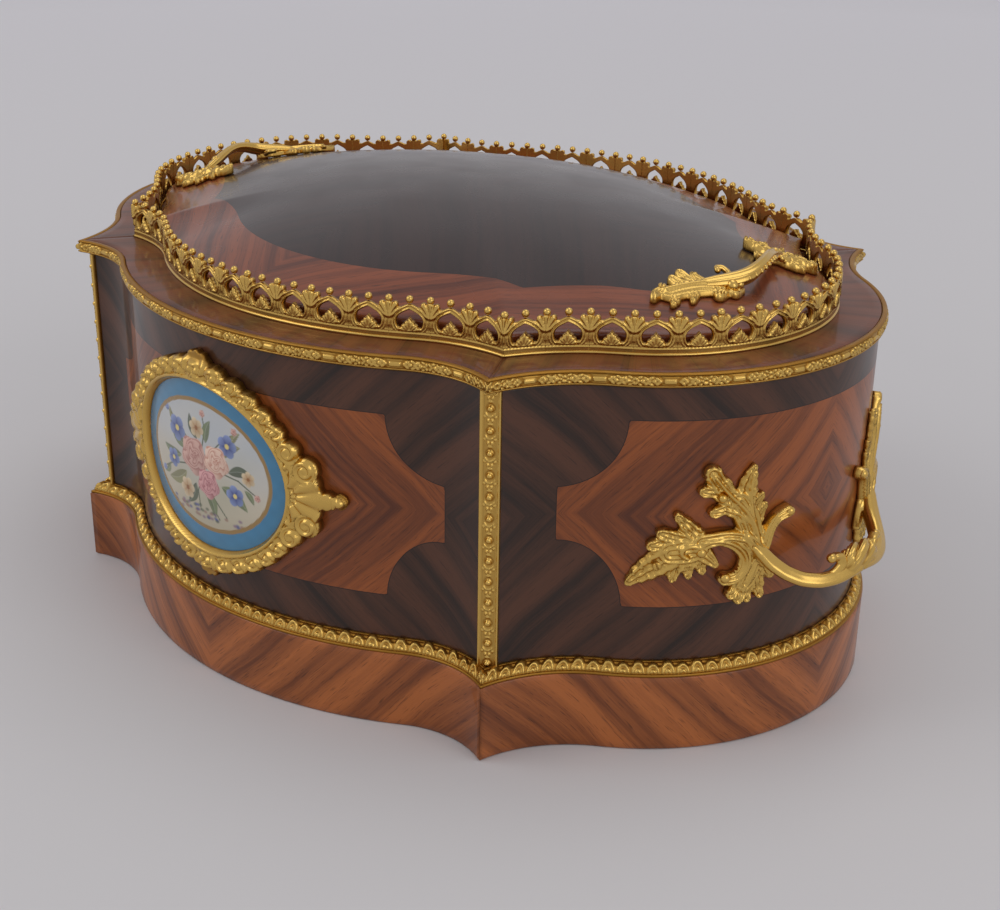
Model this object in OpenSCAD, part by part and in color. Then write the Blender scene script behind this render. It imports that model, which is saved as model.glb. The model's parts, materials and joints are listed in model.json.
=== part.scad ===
// Table jardiniere in veneered wood with gilt mounts: a bombe-planned planter box on a plinth,
// with a pierced gallery round a domed lid, a lift-out zinc liner, and a porcelain plaque.
// Millimetres. +X is an end with a handle, -Y is the front with the plaque, +Z is up.
// The origin is the centre of the plan, on the surface that the plinth stands on.

/* [Plan of the case] */
// Half length between the four corner arrises of the gilt edge
corner_x = 139.2; // [132:0.2:150]
// Half depth between the four corner arrises of the gilt edge
corner_y = 132.0; // [126:0.2:138]
// How far the front and back bow out beyond the corners
bow_front = 33.8; // [28:0.2:40]
// How far the two ends bow out beyond the corners
bow_end = 75.8; // [66:0.2:84]
// Radius of the front and back bows
r_bow_front = 172.4; // [160:0.2:190]
// Radius of the hollows beside the front and back bows
r_hollow_front = 47.4; // [42:0.2:54]
// Radius of the two end bows
r_bow_end = 107.5; // [100:0.5:115]
// Radius of the hollows beside the end bows
r_hollow_end = 65.5; // [58:0.5:72]

/* [Carcase] */
// Height of the case from the table to the polished ledge
case_h = 169; // [150:1:190]
// Height of the plinth
plinth_h = 35; // [28:1:42]
// How far the plinth stands out beyond the gilt edge
plinth_out = 2.6; // [1.6:0.2:5]
// Thickness of the plinth boards
plinth_t = 16; // [12:0.5:20]
// Thickness of the bottom board
base_t = 16; // [10:0.5:20]
// How far the case walls are set in from the gilt edge
wall_in = 3; // [2.4:0.2:5]
// Thickness of the case walls
wall_t = 11; // [8:0.5:13]
// Thickness of the top rim boards
rim_t = 10; // [8:0.5:14]
// Width of the polished ledge, from the gilt edge to the lid's rebate
ledge_w = 26; // [24:0.5:29]
// Depth of the rebate that the liner's flange and the lid lie in
rebate_d = 5; // [4:0.5:7]
// Width of the step at the foot of the rebate
rebate_w = 7; // [5:0.5:9]

/* [Gilt mouldings and strips] */
// Height of the gilt moulding round the top edge
edge_h = 6; // [4:0.5:9]
// Height of the gilt moulding on the plinth
foot_h = 6; // [4:0.5:9]
// Width of the gilt strip on each corner
strip_w = 8.7; // [6:0.1:11]
// Thickness of the corner strips
strip_t = 2.6; // [1.8:0.1:3.2]
// Diameter of the beads in the corner strips
bead_d = 3.4; // [2:0.1:4]
// Distance from bead to bead
bead_pitch = 9; // [7:0.5:14]

/* [Pierced gallery] */
// Height of the gallery to the top of its balls
gallery_h = 18.7; // [15:0.1:22]
// How far the gallery stands in from the gilt edge
gallery_in = 22; // [20:0.2:22.6]
// Thickness of the pierced plate
plate_t = 1.6; // [1.2:0.1:2]
// Nearest length of one arch with its palmette
arch_pitch = 17; // [15:0.5:22]
// Diameter of the balls on top
ball_d = 3.5; // [2.6:0.1:4]
// Width of the onion-shaped openings
arch_w = 11.4; // [9:0.1:11.8]
// Height of the onion-shaped openings
arch_h = 8.8; // [7:0.1:9.4]
// Height of the plain rail under the arches
rail_h = 3.4; // [2.4:0.1:4.4]

/* [Liner] */
// Gap between the liner and the edge of the rim
liner_gap = 0.6; // [0.4:0.1:1.5]
// Thickness of the zinc sheet
liner_t = 1.2; // [0.8:0.1:1.6]
// Clear height between the liner and the bottom board
liner_clear = 13; // [4:0.5:24]
// Diameter of the wire of the lifting bails
bail_wire = 3; // [2.4:0.1:3.6]
// Width of a lifting bail between the centres of its legs
bail_w = 24; // [20:1:32]
// Drop of a lifting bail below its pivot
bail_drop = 26; // [20:1:32]
// Depth of the bails' pivots below the rebate
pivot_in = 32; // [24:1:40]

/* [Lid] */
// Gap between the lid and the wall of the rebate
lid_gap = 0.4; // [0.3:0.1:1]
// Height of the lid's upright edge above the ledge
lid_edge = 7; // [5:0.5:9]
// Rise of the dome above the lid's edge
dome_h = 28; // [20:1:36]
// Thickness of the domed shell
dome_t = 9; // [6:0.5:11]
// Width of the flat frame under the dome
frame_w = 20; // [16:1:26]

/* [Plaque] */
// Half length of the porcelain oval
plaque_a = 49; // [42:0.5:52]
// Thickness of the porcelain
plaque_t = 2.6; // [2:0.1:3.2]
// Clear height between the frame and the mouldings above and below it
frame_clear = 9.5; // [7:0.5:14]
// Width of the gilt frame outside the opening
border_w = 12; // [9:0.5:13]
// Length of the shell crest at each hand of the frame
crest_l = 18; // [12:1:20]
// How far the frame stands out from the wall
border_t = 6.6; // [5.4:0.2:8]

/* [End handles] */
// Height of the spray's centre above the table
handle_z = 88; // [82:1:94]
// Half distance between the two sprays, round the bow
handle_u = 40; // [36:0.5:44]
// Clear space for the fingers behind the grip
finger_gap = 12; // [9:0.5:15]
// Diameter of the grip's arms
grip_d = 7; // [6:0.2:8.4]
// Drop of the grip's arms below the sprays
grip_drop = 32; // [26:1:38]
// Length of the longest leaf of an end handle
end_leaf = 47; // [38:1:52]

/* [Lid handles] */
// Distance of the lid handles from the centre of the plan
knob_x = 149; // [144:1:152]
// Clear space for the fingers under the grip
knob_gap = 11; // [9:0.5:14]
// Diameter of the grip
knob_d = 6.4; // [5:0.2:8]
// Length of each half of a lid handle
knob_l = 48; // [42:1:52]

/* [Hidden] */

// Small gaps: half a mitre's glue line, gilt on wood, and a running pin in its eye
glue = 0.1;
bed = 0.3;
pin_gap = 0.1;

// Steps along a bow and a hollow, for boards and for the plainer lid
bow_steps = 26;
hollow_steps = 7;
lid_bow_steps = 12;
lid_hollow_steps = 4;

// Depth of the dome's upright edge above its flat frame
shell_edge = 4;

// Sections of the blocks and battens inside
block_w = 14;
block_l = 30;
block_h = 18;
batten_x = 62;
batten_w = 30;

// Each kind of side as [half length, bow, bow radius, hollow radius, corner line's distance]
LONG = [corner_x, bow_front, r_bow_front, r_hollow_front, corner_y];
SHORT = [corner_y, bow_end, r_bow_end, r_hollow_end, corner_x];
TURNS = [180, -90, 0, 90];

// Levels above the table
rim_z = case_h - rim_t;
rebate_z = case_h - rebate_d;
flange_z = rebate_z + liner_t;
liner_z = plinth_h + liner_clear;
lid_z = flange_z + bed;
lid_top = case_h + lid_edge;
lid_seat = lid_top - shell_edge;
plaque_z = (plinth_h + foot_h + case_h - edge_h) / 2;
plaque_b = (case_h - edge_h - plinth_h - foot_h) / 2 - frame_clear - border_w;

// A length that reaches past the whole plan, for cuts
beyond = 2 * (corner_x + bow_end);

// Insets from the gilt edge
lip_in = ledge_w + rebate_w;
lid_in = ledge_w + lid_gap;
liner_in = lip_in + liner_gap;

// Centre of a side's bow, as a distance from the plan's centre
function bow_centre(g) = g[4] + g[1] - g[2];

// Centre of a side's hollow: the circle through the corner that touches the bow from outside
function hollow_centre(g) =
    let (y0 = g[1] - g[2], c = g[0], r = g[3],
         k = (g[2] + r) * (g[2] + r) - r * r - y0 * y0 + c * c,
         a = pow(y0 / c, 2) + 1,
         b = 2 * (k / (2 * c) - c) * (y0 / c),
         d = pow(k / (2 * c) - c, 2) - r * r,
         v = (-b + sqrt(b * b - 4 * a * d)) / (2 * a))
    [(k + 2 * y0 * v) / (2 * c), g[4] + v];

// Angle at which the bow turns into the hollow
function bow_turn(g) = let (h = hollow_centre(g)) atan2(h[0], h[1] - bow_centre(g));

// Corner of the plan in the first quadrant, moved outwards by o: where the two hollows cross
function corner(o) =
    let (f = hollow_centre(LONG), e0 = hollow_centre(SHORT), e = [e0[1], e0[0]],
         rf = r_hollow_front - o, re = r_hollow_end - o,
         d = e - f, n = norm(d), a = (rf * rf - re * re + n * n) / (2 * n),
         h = sqrt(rf * rf - a * a), m = f + d * a / n, w = [-d[1], d[0]] / n,
         p = m + w * h, q = m - w * h)
    norm(p) < norm(q) ? p : q;

// The corner as seen from one side: [along, outwards]
function side_corner(g, o) = let (p = corner(o)) g == LONG ? p : [p[1], p[0]];

// Point on a side's bow or hollow at a turning angle, with offset o
function on_bow(g, a, o) = [(g[2] + o) * sin(a), bow_centre(g) + (g[2] + o) * cos(a)];
function on_hollow(g, a, o) =
    let (h = hollow_centre(g)) [h[0] - (g[3] - o) * sin(a), h[1] - (g[3] - o) * cos(a)];

// Turning angle of a hollow where it meets the corner
function end_turn(g, o) =
    let (h = hollow_centre(g), p = side_corner(g, o)) atan2(h[0] - p[0], h[1] - p[1]);

// Half of a side from its middle to the corner, and the whole side, with a glue gap at each end
function half_side(g, o, nb, nh) =
    let (t = bow_turn(g), e = end_turn(g, o))
    concat([for (i = [0:nb]) on_bow(g, t * i / nb, o)],
           [for (i = [1:nh]) on_hollow(g, t + (e - t) * i / nh, o) - (i == nh ? [glue, 0] : [0, 0])]);
function whole_side(g, o, nb = bow_steps / 2, nh = hollow_steps) =
    let (h = half_side(g, o, nb, nh), n = len(h))
    concat([for (i = [n - 1:-1:1]) [-h[i][0], h[i][1]]], h);
function backwards(p) = [for (i = [len(p) - 1:-1:0]) p[i]];
function turned(p, a) = [for (q = p) [q[0] * cos(a) - q[1] * sin(a), q[0] * sin(a) + q[1] * cos(a)]];

// The closed plan, anticlockwise, moved outwards by o
function outline(o, nb = bow_steps / 2, nh = hollow_steps) =
    [for (k = [3, 0, 1, 2]) each backwards(turned(whole_side(side_of(k), o, nb, nh), TURNS[k]))];
function side_of(k) = k % 2 == 0 ? LONG : SHORT;

// Distance from the plan's centre to its edge along a direction, moved outwards by o
function hit(c, r, u, s) = let (b = c * u) b + s * sqrt(b * b - c * c + r * r);
function edge_r(x, y, o) =
    let (q = [abs(x), abs(y)], u = q / max(norm(q), 0.001), a = atan2(u[1], u[0]),
         te = on_bow(SHORT, bow_turn(SHORT), o), tf = on_bow(LONG, bow_turn(LONG), o),
         c = corner(o), he = hollow_centre(SHORT), hf = hollow_centre(LONG))
    a < atan2(te[0], te[1]) ? hit([bow_centre(SHORT), 0], r_bow_end + o, u, 1)
    : a < atan2(c[1], c[0]) ? hit([he[1], he[0]], r_hollow_end - o, u, -1)
    : a < atan2(tf[1], tf[0]) ? hit(hf, r_hollow_front - o, u, -1)
    : hit([0, bow_centre(LONG)], r_bow_front + o, u, 1);

// Height of the lid's outside: a parabola from the centre to the edge along every direction
function dome_rise(t) = lid_top + dome_h * (1 - t * t);
function dome_z(x, y) = dome_rise(min(1, norm([x, y]) / edge_r(x, y, -lid_in)));

// Solid through a list of rings with equal counts, closed at both ends or all the way round
module skin(rings, round = false) {
    m = len(rings[0]);
    n = len(rings);
    pts = [for (r = rings) each r];
    walls = [for (i = [0:n - (round ? 1 : 2)], j = [0:m - 1])
        let (a = i * m + j, b = i * m + (j + 1) % m, c = ((i + 1) % n) * m + j,
             d = ((i + 1) % n) * m + (j + 1) % m) each [[a, b, d], [a, d, c]]];
    lids = round ? [] : [[for (j = [m - 1:-1:0]) j], [for (j = [0:m - 1]) (n - 1) * m + j]];
    polyhedron(pts, concat(walls, lids), convexity = 6);
}

// A board that follows one side between two offsets and two levels
module board(k, inner, outer, z0, z1) {
    g = side_of(k);
    rotate([0, 0, TURNS[k]]) translate([0, 0, z0]) linear_extrude(z1 - z0)
        polygon(concat(whole_side(g, outer), backwards(whole_side(g, inner))));
}

// A moulding that carries a profile of [offset, height] points along one side, mitred at its ends
module moulding(k, z0, profile) {
    g = side_of(k);
    paths = [for (p = profile) whole_side(g, p[0], 8, 4)];
    rotate([0, 0, TURNS[k]]) skin([for (i = [len(paths[0]) - 1:-1:0])
        [for (j = [0:len(profile) - 1]) [paths[j][i][0], paths[j][i][1], z0 + profile[j][1]]]]);
}

// The corner arris of the walls, with the direction of its mitre
arris = corner(-wall_in);
mitre = (end_turn(SHORT, -wall_in) + 90 - end_turn(LONG, -wall_in)) / 2;
half_angle = 90 - (90 - end_turn(LONG, -wall_in) - end_turn(SHORT, -wall_in)) / 2;
cut_depth = strip_w / 2 / tan(half_angle);
CORNERS = [[1, -1], [1, 1], [-1, 1], [-1, -1]];

// Puts a child that looks along +X at a corner's arris, facing outwards along the mitre
module at_corner(q) {
    translate([arris[0] * q[0], arris[1] * q[1], 0])
        rotate([0, 0, atan2(sin(mitre) * q[1], cos(mitre) * q[0])]) children();
}

// The bed of the strips, cut from the walls' corners
module corner_cuts(z0, z1) {
    for (q = CORNERS)
        at_corner(q) translate([-cut_depth, -20, z0]) cube([40, 40, z1 - z0]);
}

module plinth(k) {
    color([0.45, 0.24, 0.14]) board(k, plinth_out - plinth_t, plinth_out, 0, plinth_h);
}

module base_board() {
    color([0.62, 0.48, 0.33]) translate([0, 0, plinth_h - base_t])
        linear_extrude(base_t) polygon(outline(plinth_out - plinth_t - bed));
}

// Places a screw of a handle: k is the end, s the hand, pointing outwards along +X
module at_end_screw(k, s) {
    rotate([0, 0, k == 1 ? 0 : 180]) translate([bow_centre(SHORT), 0, screw_z])
        rotate([0, 0, s * screw_turn]) translate([wall_r, 0, 0]) children();
}

module case_wall(k) {
    color([0.38, 0.21, 0.13]) difference() {
        board(k, -wall_in - wall_t, -wall_in, plinth_h, rim_z);
        corner_cuts(plinth_h - 1, rim_z + 1);
        if (k == 1 || k == 3)
            for (s = [-1, 1]) at_end_screw(k, s) rotate([0, -90, 0])
                translate([0, 0, -1]) cylinder(d = screw_d + 2 * pin_gap, h = screw_l + 2, $fn = 32);
    }
}

// Uprights glued into the inner corners
module corner_blocks() {
    p = corner(-wall_in - wall_t - bed);
    color([0.66, 0.52, 0.36]) translate([0, 0, plinth_h]) linear_extrude(rim_z - plinth_h)
        for (q = CORNERS) intersection() {
            difference() {
                polygon(outline(-wall_in - wall_t - bed));
                polygon(outline(-wall_in - wall_t - block_w));
            }
            translate([p[0] * q[0], p[1] * q[1]]) square(block_l, center = true);
        }
}

// Short blocks rubbed into the angles under the rim and on the bottom board
module glue_blocks() {
    color([0.66, 0.52, 0.36]) for (z = [plinth_h, rim_z - block_h])
        translate([0, 0, z]) linear_extrude(block_h) for (k = [0:3]) rotate(TURNS[k])
            intersection() {
                difference() {
                    polygon(turned(outline(-wall_in - wall_t - bed), -TURNS[k]));
                    polygon(turned(outline(-wall_in - wall_t - block_w), -TURNS[k]));
                }
                for (a = [-1, 0, 1] * bow_turn(side_of(k)) * 0.62)
                    translate([0, bow_centre(side_of(k))]) rotate(-a)
                        translate([-block_l / 2, 0]) square([block_l, beyond]);
            }
}

module top_rim(k) {
    color([0.36, 0.19, 0.12]) difference() {
        union() {
            board(k, -lip_in, -wall_in, rim_z, rebate_z);
            board(k, -ledge_w, -wall_in, rebate_z - 1, case_h);
        }
        corner_cuts(rim_z - 1, case_h - edge_h);
    }
}

// The top edge: a nosing with a flat top, a rolled face and a small bead below
module edge_moulding(k) {
    color([0.83, 0.66, 0.3]) moulding(k, case_h - edge_h,
        [[-wall_in + bed, 0], [-1.2, 0], [-0.7, edge_h * 0.16], [-1.1, edge_h * 0.28],
         [-0.2, edge_h * 0.42], [0, edge_h * 0.6], [-0.2, edge_h * 0.8], [-0.8, edge_h],
         [-wall_in + bed, edge_h]]);
}

// The foot: a lip on the plinth's ledge, and a leaf that leans back to the wall
module base_moulding(k) {
    o = plinth_out;
    color([0.83, 0.66, 0.3]) moulding(k, plinth_h,
        [[-wall_in + bed, 0], [o - 0.3, 0], [o - 0.2, foot_h * 0.2], [o - 0.9, foot_h * 0.34],
         [o - 1.9, foot_h * 0.55], [o - 3.3, foot_h * 0.84], [o - 4.2, foot_h],
         [-wall_in + bed, foot_h]]);
}

// A corner strip: a channel between two raised borders, with a row of beads and crescents
module corner_strip(q) {
    z0 = plinth_h + foot_h + bed;
    z1 = case_h - edge_h - bed;
    border = strip_w * 0.16;
    n = floor((z1 - z0 - bead_pitch / 2) / bead_pitch);
    first = (z0 + z1) / 2 - (n - 1) * bead_pitch / 2;
    color([0.83, 0.66, 0.3]) at_corner(q) translate([-cut_depth + bed, 0, 0]) {
        difference() {
            translate([0, -strip_w / 2, z0]) cube([strip_t, strip_w, z1 - z0]);
            translate([strip_t * 0.6, border - strip_w / 2, z0 - 1])
                cube([strip_t, strip_w - 2 * border, z1 - z0 + 2]);
        }
        for (i = [0:n - 1]) translate([strip_t * 0.55, 0, first + i * bead_pitch]) {
            sphere(d = bead_d, $fn = 20);
            if (i < n - 1) translate([0, 0, bead_pitch / 2]) rotate([0, 90, 0]) difference() {
                cylinder(d = bead_d * 0.8, h = strip_t * 0.4, $fn = 20);
                translate([bead_d * 0.3, 0, -1]) cylinder(d = bead_d * 0.7, h = 5, $fn = 20);
            }
        }
    }
}

// Half width of the onion at a share of its height: round below, drawn to a point above
function onion_half(f, w) =
    f < 0.3 ? w * sqrt(1 - pow((0.3 - f) / 0.3 * 0.66, 2))
    : w * pow(cos(90 * pow((f - 0.3) / 0.7, 1.15)), 1.35);

// The onion as an outline: half width w, height h, standing on z0
function onion(w, h, z0, n = 8) =
    concat([for (i = [0:n]) [onion_half(i / n, w), z0 + h * i / n]],
           [for (i = [n - 1:-1:0]) [-onion_half(i / n, w), z0 + h * i / n]]);

// A palmette: a stem that opens into five lobes
function palmette(r, z) =
    [for (a = [-90:18:252]) let (up = sin(a) > -0.35,
        d = up ? r * (0.86 + 0.14 * abs(cos(2.5 * (a - 90)))) : r * 0.55)
        [d * cos(a), z + d * sin(a)]];

// A leaf in the opening: a triangle with hollow sides
function sprig(w, h, z0) =
    [for (i = [0:6]) let (f = abs(i / 3 - 1))
        [(i / 3 - 1) * w * (1 - 0.12 * sin(f * 180)), z0 + h * (1 - f)]];

palm_r = 3.3;
palm_z = gallery_h - ball_d + 0.8 - palm_r;

// One arch with half a palmette on each hand, in the plane of X and Y, face up
module arch_plate(p, lap) {
    top = gallery_h - ball_d + 0.8;
    linear_extrude(plate_t) difference() {
        union() {
            translate([-p / 2 - lap, 0]) square([p + 2 * lap, rail_h]);
            translate([-p / 2 - lap, rail_h - 0.2]) square([p + 2 * lap, palm_z - rail_h - 1.2]);
            polygon(onion(arch_w / 2 + 2.1, top - rail_h + 0.6, rail_h - 0.6, 5));
            for (s = [-1, 1]) intersection() {
                translate([s * p / 2, 0]) polygon(palmette(palm_r, palm_z));
                translate([-p / 2 - lap, 0]) square([p + 2 * lap, gallery_h]);
            }
        }
        polygon(onion(arch_w / 2, arch_h, rail_h + 0.2));
    }
    // The rib round the opening, the sprig inside it and the face of the palmettes
    linear_extrude(plate_t + 0.55) difference() {
        polygon(onion(arch_w / 2 + 1.1, arch_h + 1.7, rail_h - 0.3, 7));
        polygon(onion(arch_w / 2, arch_h, rail_h + 0.2));
    }
    linear_extrude(plate_t + 0.35) polygon(sprig(3.5, 4.8, rail_h - 0.3));
}

// Arc length of half a side, and the place on it at a distance from its middle
function bow_len(g, o) = (g[2] + o) * bow_turn(g) * PI / 180;
function half_len(g, o) = bow_len(g, o) + (g[3] - o) * (bow_turn(g) - end_turn(g, o)) * PI / 180;
function place_on(g, s, o) =
    let (t = abs(s), l = bow_len(g, o), a = t < l ? t / (g[2] + o) * 180 / PI
         : bow_turn(g) - (t - l) / (g[3] - o) * 180 / PI,
         p = t < l ? on_bow(g, a, o) : on_hollow(g, a, o))
    s < 0 ? [-p[0], p[1], -a] : [p[0], p[1], a];

// Half spaces on the near sides of a side's two mitres
module within_mitres(g, o) {
    a = side_corner(g, o + 20);
    b = side_corner(g, o - 20);
    translate([0, 0, -1]) linear_extrude(gallery_h + 2) polygon([
        [-a[0] + glue, a[1]], [-a[0] + glue, 2 * a[1]], [a[0] - glue, 2 * a[1]], [a[0] - glue, a[1]],
        [b[0] - glue, b[1]], [-b[0] + glue, b[1]]]);
}

// One side of the gallery: foot, rail, pierced arches, and a ball on every point and palmette
module gallery(k) {
    g = side_of(k);
    o = -gallery_in;
    span = 2 * half_len(g, o);
    n = 2 * round((span / arch_pitch - 1) / 2) + 1;
    p = span / n;
    owns_corner = g == LONG;
    color([0.83, 0.66, 0.3]) translate([0, 0, case_h]) rotate([0, 0, TURNS[k]]) {
        linear_extrude(1.2)
            polygon(concat(whole_side(g, o + 1.1), backwards(whole_side(g, o - plate_t - 0.5))));
        translate([0, 0, 1]) linear_extrude(rail_h - 1.2)
            polygon(concat(whole_side(g, o + 0.6), backwards(whole_side(g, o - plate_t - 0.1))));
        intersection() {
            for (i = [0:n - 1]) {
                q = place_on(g, (i - (n - 1) / 2) * p, o);
                translate([q[0], q[1], 0]) rotate([0, 0, -q[2]]) rotate([90, 0, 180])
                    translate([0, 0, -plate_t]) arch_plate(p, 0.12);
            }
            within_mitres(g, o);
        }
        for (i = [0:2 * n]) if ((i > 0 && i < 2 * n) || owns_corner) {
            q = place_on(g, (i - n) * p / 2, o - plate_t / 2);
            translate([q[0], q[1], gallery_h - ball_d / 2]) sphere(d = ball_d, $fn = 20);
        }
    }
}

// Maps a distance u round a bow, a height z and a projection h to a place in front of the wall
function on_wall(g, u, z, h) =
    let (r = g[2] - wall_in, a = u / r * 180 / PI)
    [(r + bed + h) * sin(a), bow_centre(g) + (r + bed + h) * cos(a), z];
function on_front(u, z, h) = on_wall(LONG, u, z, h);
function on_end(u, z, h) = on_wall(SHORT, u, z, h);
function on_lid(x, y, h) = [x, y, dome_z(x, y) + bed + h];

module plaque() {
    r = r_bow_front - wall_in;
    color([0.3, 0.58, 0.75]) rotate([0, 0, 180]) intersection() {
        translate([0, bow_centre(LONG), 0]) difference() {
            cylinder(r = r + bed + plaque_t, h = case_h, $fn = 180);
            translate([0, 0, -1]) cylinder(r = r + bed, h = case_h + 2, $fn = 180);
        }
        translate([0, beyond, plaque_z]) rotate([90, 0, 0]) linear_extrude(beyond)
            polygon([for (a = [0:7.5:352.5])
                [r * sin(plaque_a * cos(a) / r * 180 / PI), plaque_b * sin(a)]]);
    }
}

// How far the frame's leafy rim reaches beyond the opening: small lobes, a shell crest on each
// hand with a ball tip, and a low peak above and below
function frame_reach(a) =
    border_w * (0.86 + 0.14 * abs(cos(9 * a)))
    + crest_l * exp(-pow(min(abs(a % 180), 180 - abs(a % 180)) / 11, 2))
    + 0.19 * crest_l * exp(-pow((abs(a % 180) - 90) / 12, 2));

// The frame round the plaque, as rings of one moulded section carried round the oval
module plaque_frame() {
    lap = 2;
    back = plaque_t + bed;
    color([0.83, 0.66, 0.3]) rotate([0, 0, 180]) skin([for (i = [0:71]) let (
            a = i * 5, w = frame_reach(a), c = cos(a), s = sin(a),
            nx = c * plaque_b, nz = s * plaque_a, nn = norm([nx, nz]))
        [for (p = [[0, back], [0.2, back + 0.8], [2.4, border_t], [4, border_t * 0.96],
                   [5.4, border_t * 0.72], [w * 0.72, border_t * 0.9], [w, border_t * 0.42],
                   [w, 0], [w / 2, 0], [lap + bed, 0], [lap + bed, back]])
            on_front((plaque_a - lap) * c + p[0] * nx / nn,
                     plaque_z + (plaque_b - lap) * s + p[0] * nz / nn, p[1])]], round = true);
}

// Point and direction on a quadratic curve through three control points
function curve(p, t) = p[0] * (1 - t) * (1 - t) + p[1] * 2 * t * (1 - t) + p[2] * t * t;
function curve_dir(p, t) = let (d = (p[1] - p[0]) * (1 - t) + (p[2] - p[1]) * t) d / norm(d);

// Half width of an acanthus leaf along its length: a stalk, then a broad lobed blade and its tip
function leaf_half(t, w, lobes) =
    w * (0.24 + 0.76 * exp(-pow((t - 0.66) / 0.22, 2))) * (0.8 + 0.2 * abs(sin(180 * lobes * t)));

// Rings of a leaf on a surface: p its rib, w its half width, th its crown, lift its stalk's height
function leaf_rings(map, p, w, th, lobes, lift, n = 10) =
    [for (i = [0:n]) let (t = i / n, c = curve(p, t), d = curve_dir(p, t), e = [-d[1], d[0]],
        k = leaf_half(t, w, lobes) * (i == n ? 0.4 : 1), up = lift * pow(1 - t, 2))
        [for (v = [[-1, 0], [1, 0], [1, 0.35], [0.4, 0.95], [-0.4, 0.95], [-1, 0.35]])
            let (q = c + e * k * v[0]) map(q[0], q[1], up + th * v[1] * (1 - 0.3 * t))]];

// Reach of a spray of leaves in the direction a: a round heart, and a lobed leaf for each of
// [direction, length, half width in degrees]
function spray_reach(a, heart, leaves) =
    max([heart, for (l = leaves) let (d = (a - l[0] + 540) % 360 - 180)
        l[1] * exp(-pow(abs(d) / l[2], 2.4)) * (0.93 + 0.07 * cos(d * 1080 / l[2]))]);

// A spray's leaves with their lengths, from their shares of the longest leaf
function leaves_of(leaves, l) = [for (v = leaves) [v[0], v[1] * l, v[2]]];

// Rings of a spray on a surface, from the crown's middle out over the edge and back below
function spray_rings(map, c, heart, leaves, th, crown) =
    [for (f = [[0.08, 1], [0.34, 0.8], [0.7, 0.55], [1, 0.3], [1, 0], [0.5, 0], [0.08, 0]])
        [for (a = [0:9:351]) let (r = spray_reach(a, heart, leaves) * f[0],
            h = f[1] * (f[0] < 0.5 ? crown : th)) map(c[0] + r * cos(a), c[1] + r * sin(a), h)]];

// Rings of a round bar along points [u, z, height of its centre] on a surface, with diameters
function bar_rings(map, p, d, sides = 8) =
    [for (i = [0:len(p) - 1]) let (
        a = p[max(0, i - 1)], b = p[min(len(p) - 1, i + 1)],
        t = (b - a) / norm(b - a), e = [-t[1], t[0], 0] / max(norm([t[0], t[1]]), 0.001),
        f = cross(t, e))
        [for (j = [0:sides - 1]) let (w = 360 * j / sides,
            q = p[i] + e * d[i] / 2 * cos(w) + f * d[i] / 2 * sin(w)) map(q[0], q[1], q[2])]];

// End handle: on each hand a spray of leaves with one long arched leaf, joined by a bowed grip
// that is thickest where it turns in the middle. Leaves are [direction, share of the longest
// leaf, half width in degrees].
wall_r = r_bow_end - wall_in;
end_leaves = [[121, 1, 13], [97, 0.9, 11], [55, 0.53, 16], [248, 0.49, 26], [292, 0.3, 24]];
end_long = end_leaf * [[0.04, -0.02], [-0.51, 0.43], [-1.21, -0.17]];
end_heart = 0.17 * end_leaf;
leaf_t = 4;
spray_t = 6.5;
screw_u = handle_u + 0.9 * end_leaf;
screw_turn = screw_u / wall_r * 180 / PI;
screw_z = handle_z - 2;
screw_d = 3;
screw_l = 10;

module end_handle(k) {
    grip_h = finger_gap + grip_d * 0.8;
    grip = [[-handle_u, handle_z], [-handle_u / 2, handle_z - grip_drop], [0, handle_z - 0.3 * grip_drop]];
    half = [for (i = [0:9]) let (t = i / 9, c = curve(grip, t))
        [c[0], c[1], spray_t * 0.45 + (grip_h - spray_t * 0.45) * pow(sin(90 * t), 1.5),
         grip_d * (0.86 + 0.74 * exp(-pow((1 - t) / 0.24, 2)))]];
    path = concat(half, [for (i = [8:-1:0]) [-half[i][0], half[i][1], half[i][2], half[i][3]]]);
    map = function (u, z, h) on_end(u, z, h);
    color([0.83, 0.66, 0.3]) rotate([0, 0, TURNS[k]]) difference() {
        union() {
            for (s = [0, 1]) mirror([s, 0, 0]) {
                skin(backwards(spray_rings(map, [-handle_u, handle_z], end_heart,
                    leaves_of(end_leaves, end_leaf), leaf_t, spray_t)));
                skin(leaf_rings(map, [for (p = end_long) p + [-handle_u, handle_z]],
                    0.27 * end_leaf, leaf_t, 5, 0.4 * leaf_t));
            }
            skin(bar_rings(map, [for (p = path) [p[0], p[1], p[2]]], [for (p = path) p[3]]));
        }
        for (s = [-1, 1]) translate([0, bow_centre(SHORT), screw_z]) rotate([0, 0, s * screw_turn])
            translate([0, wall_r - 1, 0]) rotate([-90, 0, 0])
                cylinder(d = screw_d + 2 * pin_gap, h = 20, $fn = 32);
    }
}

// Round-headed brass screws through the sprays into the case ends
module end_handle_screws() {
    head_z = bed + leaf_t + 0.2;
    color([0.85, 0.7, 0.35]) for (k = [1, 3], s = [-1, 1]) at_end_screw(k, s) rotate([0, 90, 0]) {
        translate([0, 0, -screw_l]) cylinder(d = screw_d, h = screw_l + head_z + 0.2, $fn = 32);
        translate([0, 0, head_z]) intersection() {
            translate([0, 0, -1]) sphere(r = screw_d + 0.2, $fn = 32);
            cylinder(d = 2 * screw_d, h = screw_d, $fn = 32);
        }
    }
}

module liner() {
    color([0.62, 0.64, 0.66]) {
        difference() {
            translate([0, 0, liner_z]) linear_extrude(flange_z - liner_z)
                polygon(outline(-liner_in));
            translate([0, 0, liner_z + liner_t]) linear_extrude(case_h)
                polygon(outline(-liner_in - liner_t));
        }
        translate([0, 0, rebate_z]) linear_extrude(liner_t) difference() {
            polygon(outline(-ledge_w - lid_gap));
            polygon(outline(-liner_in - liner_t / 2));
        }
    }
}

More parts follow.
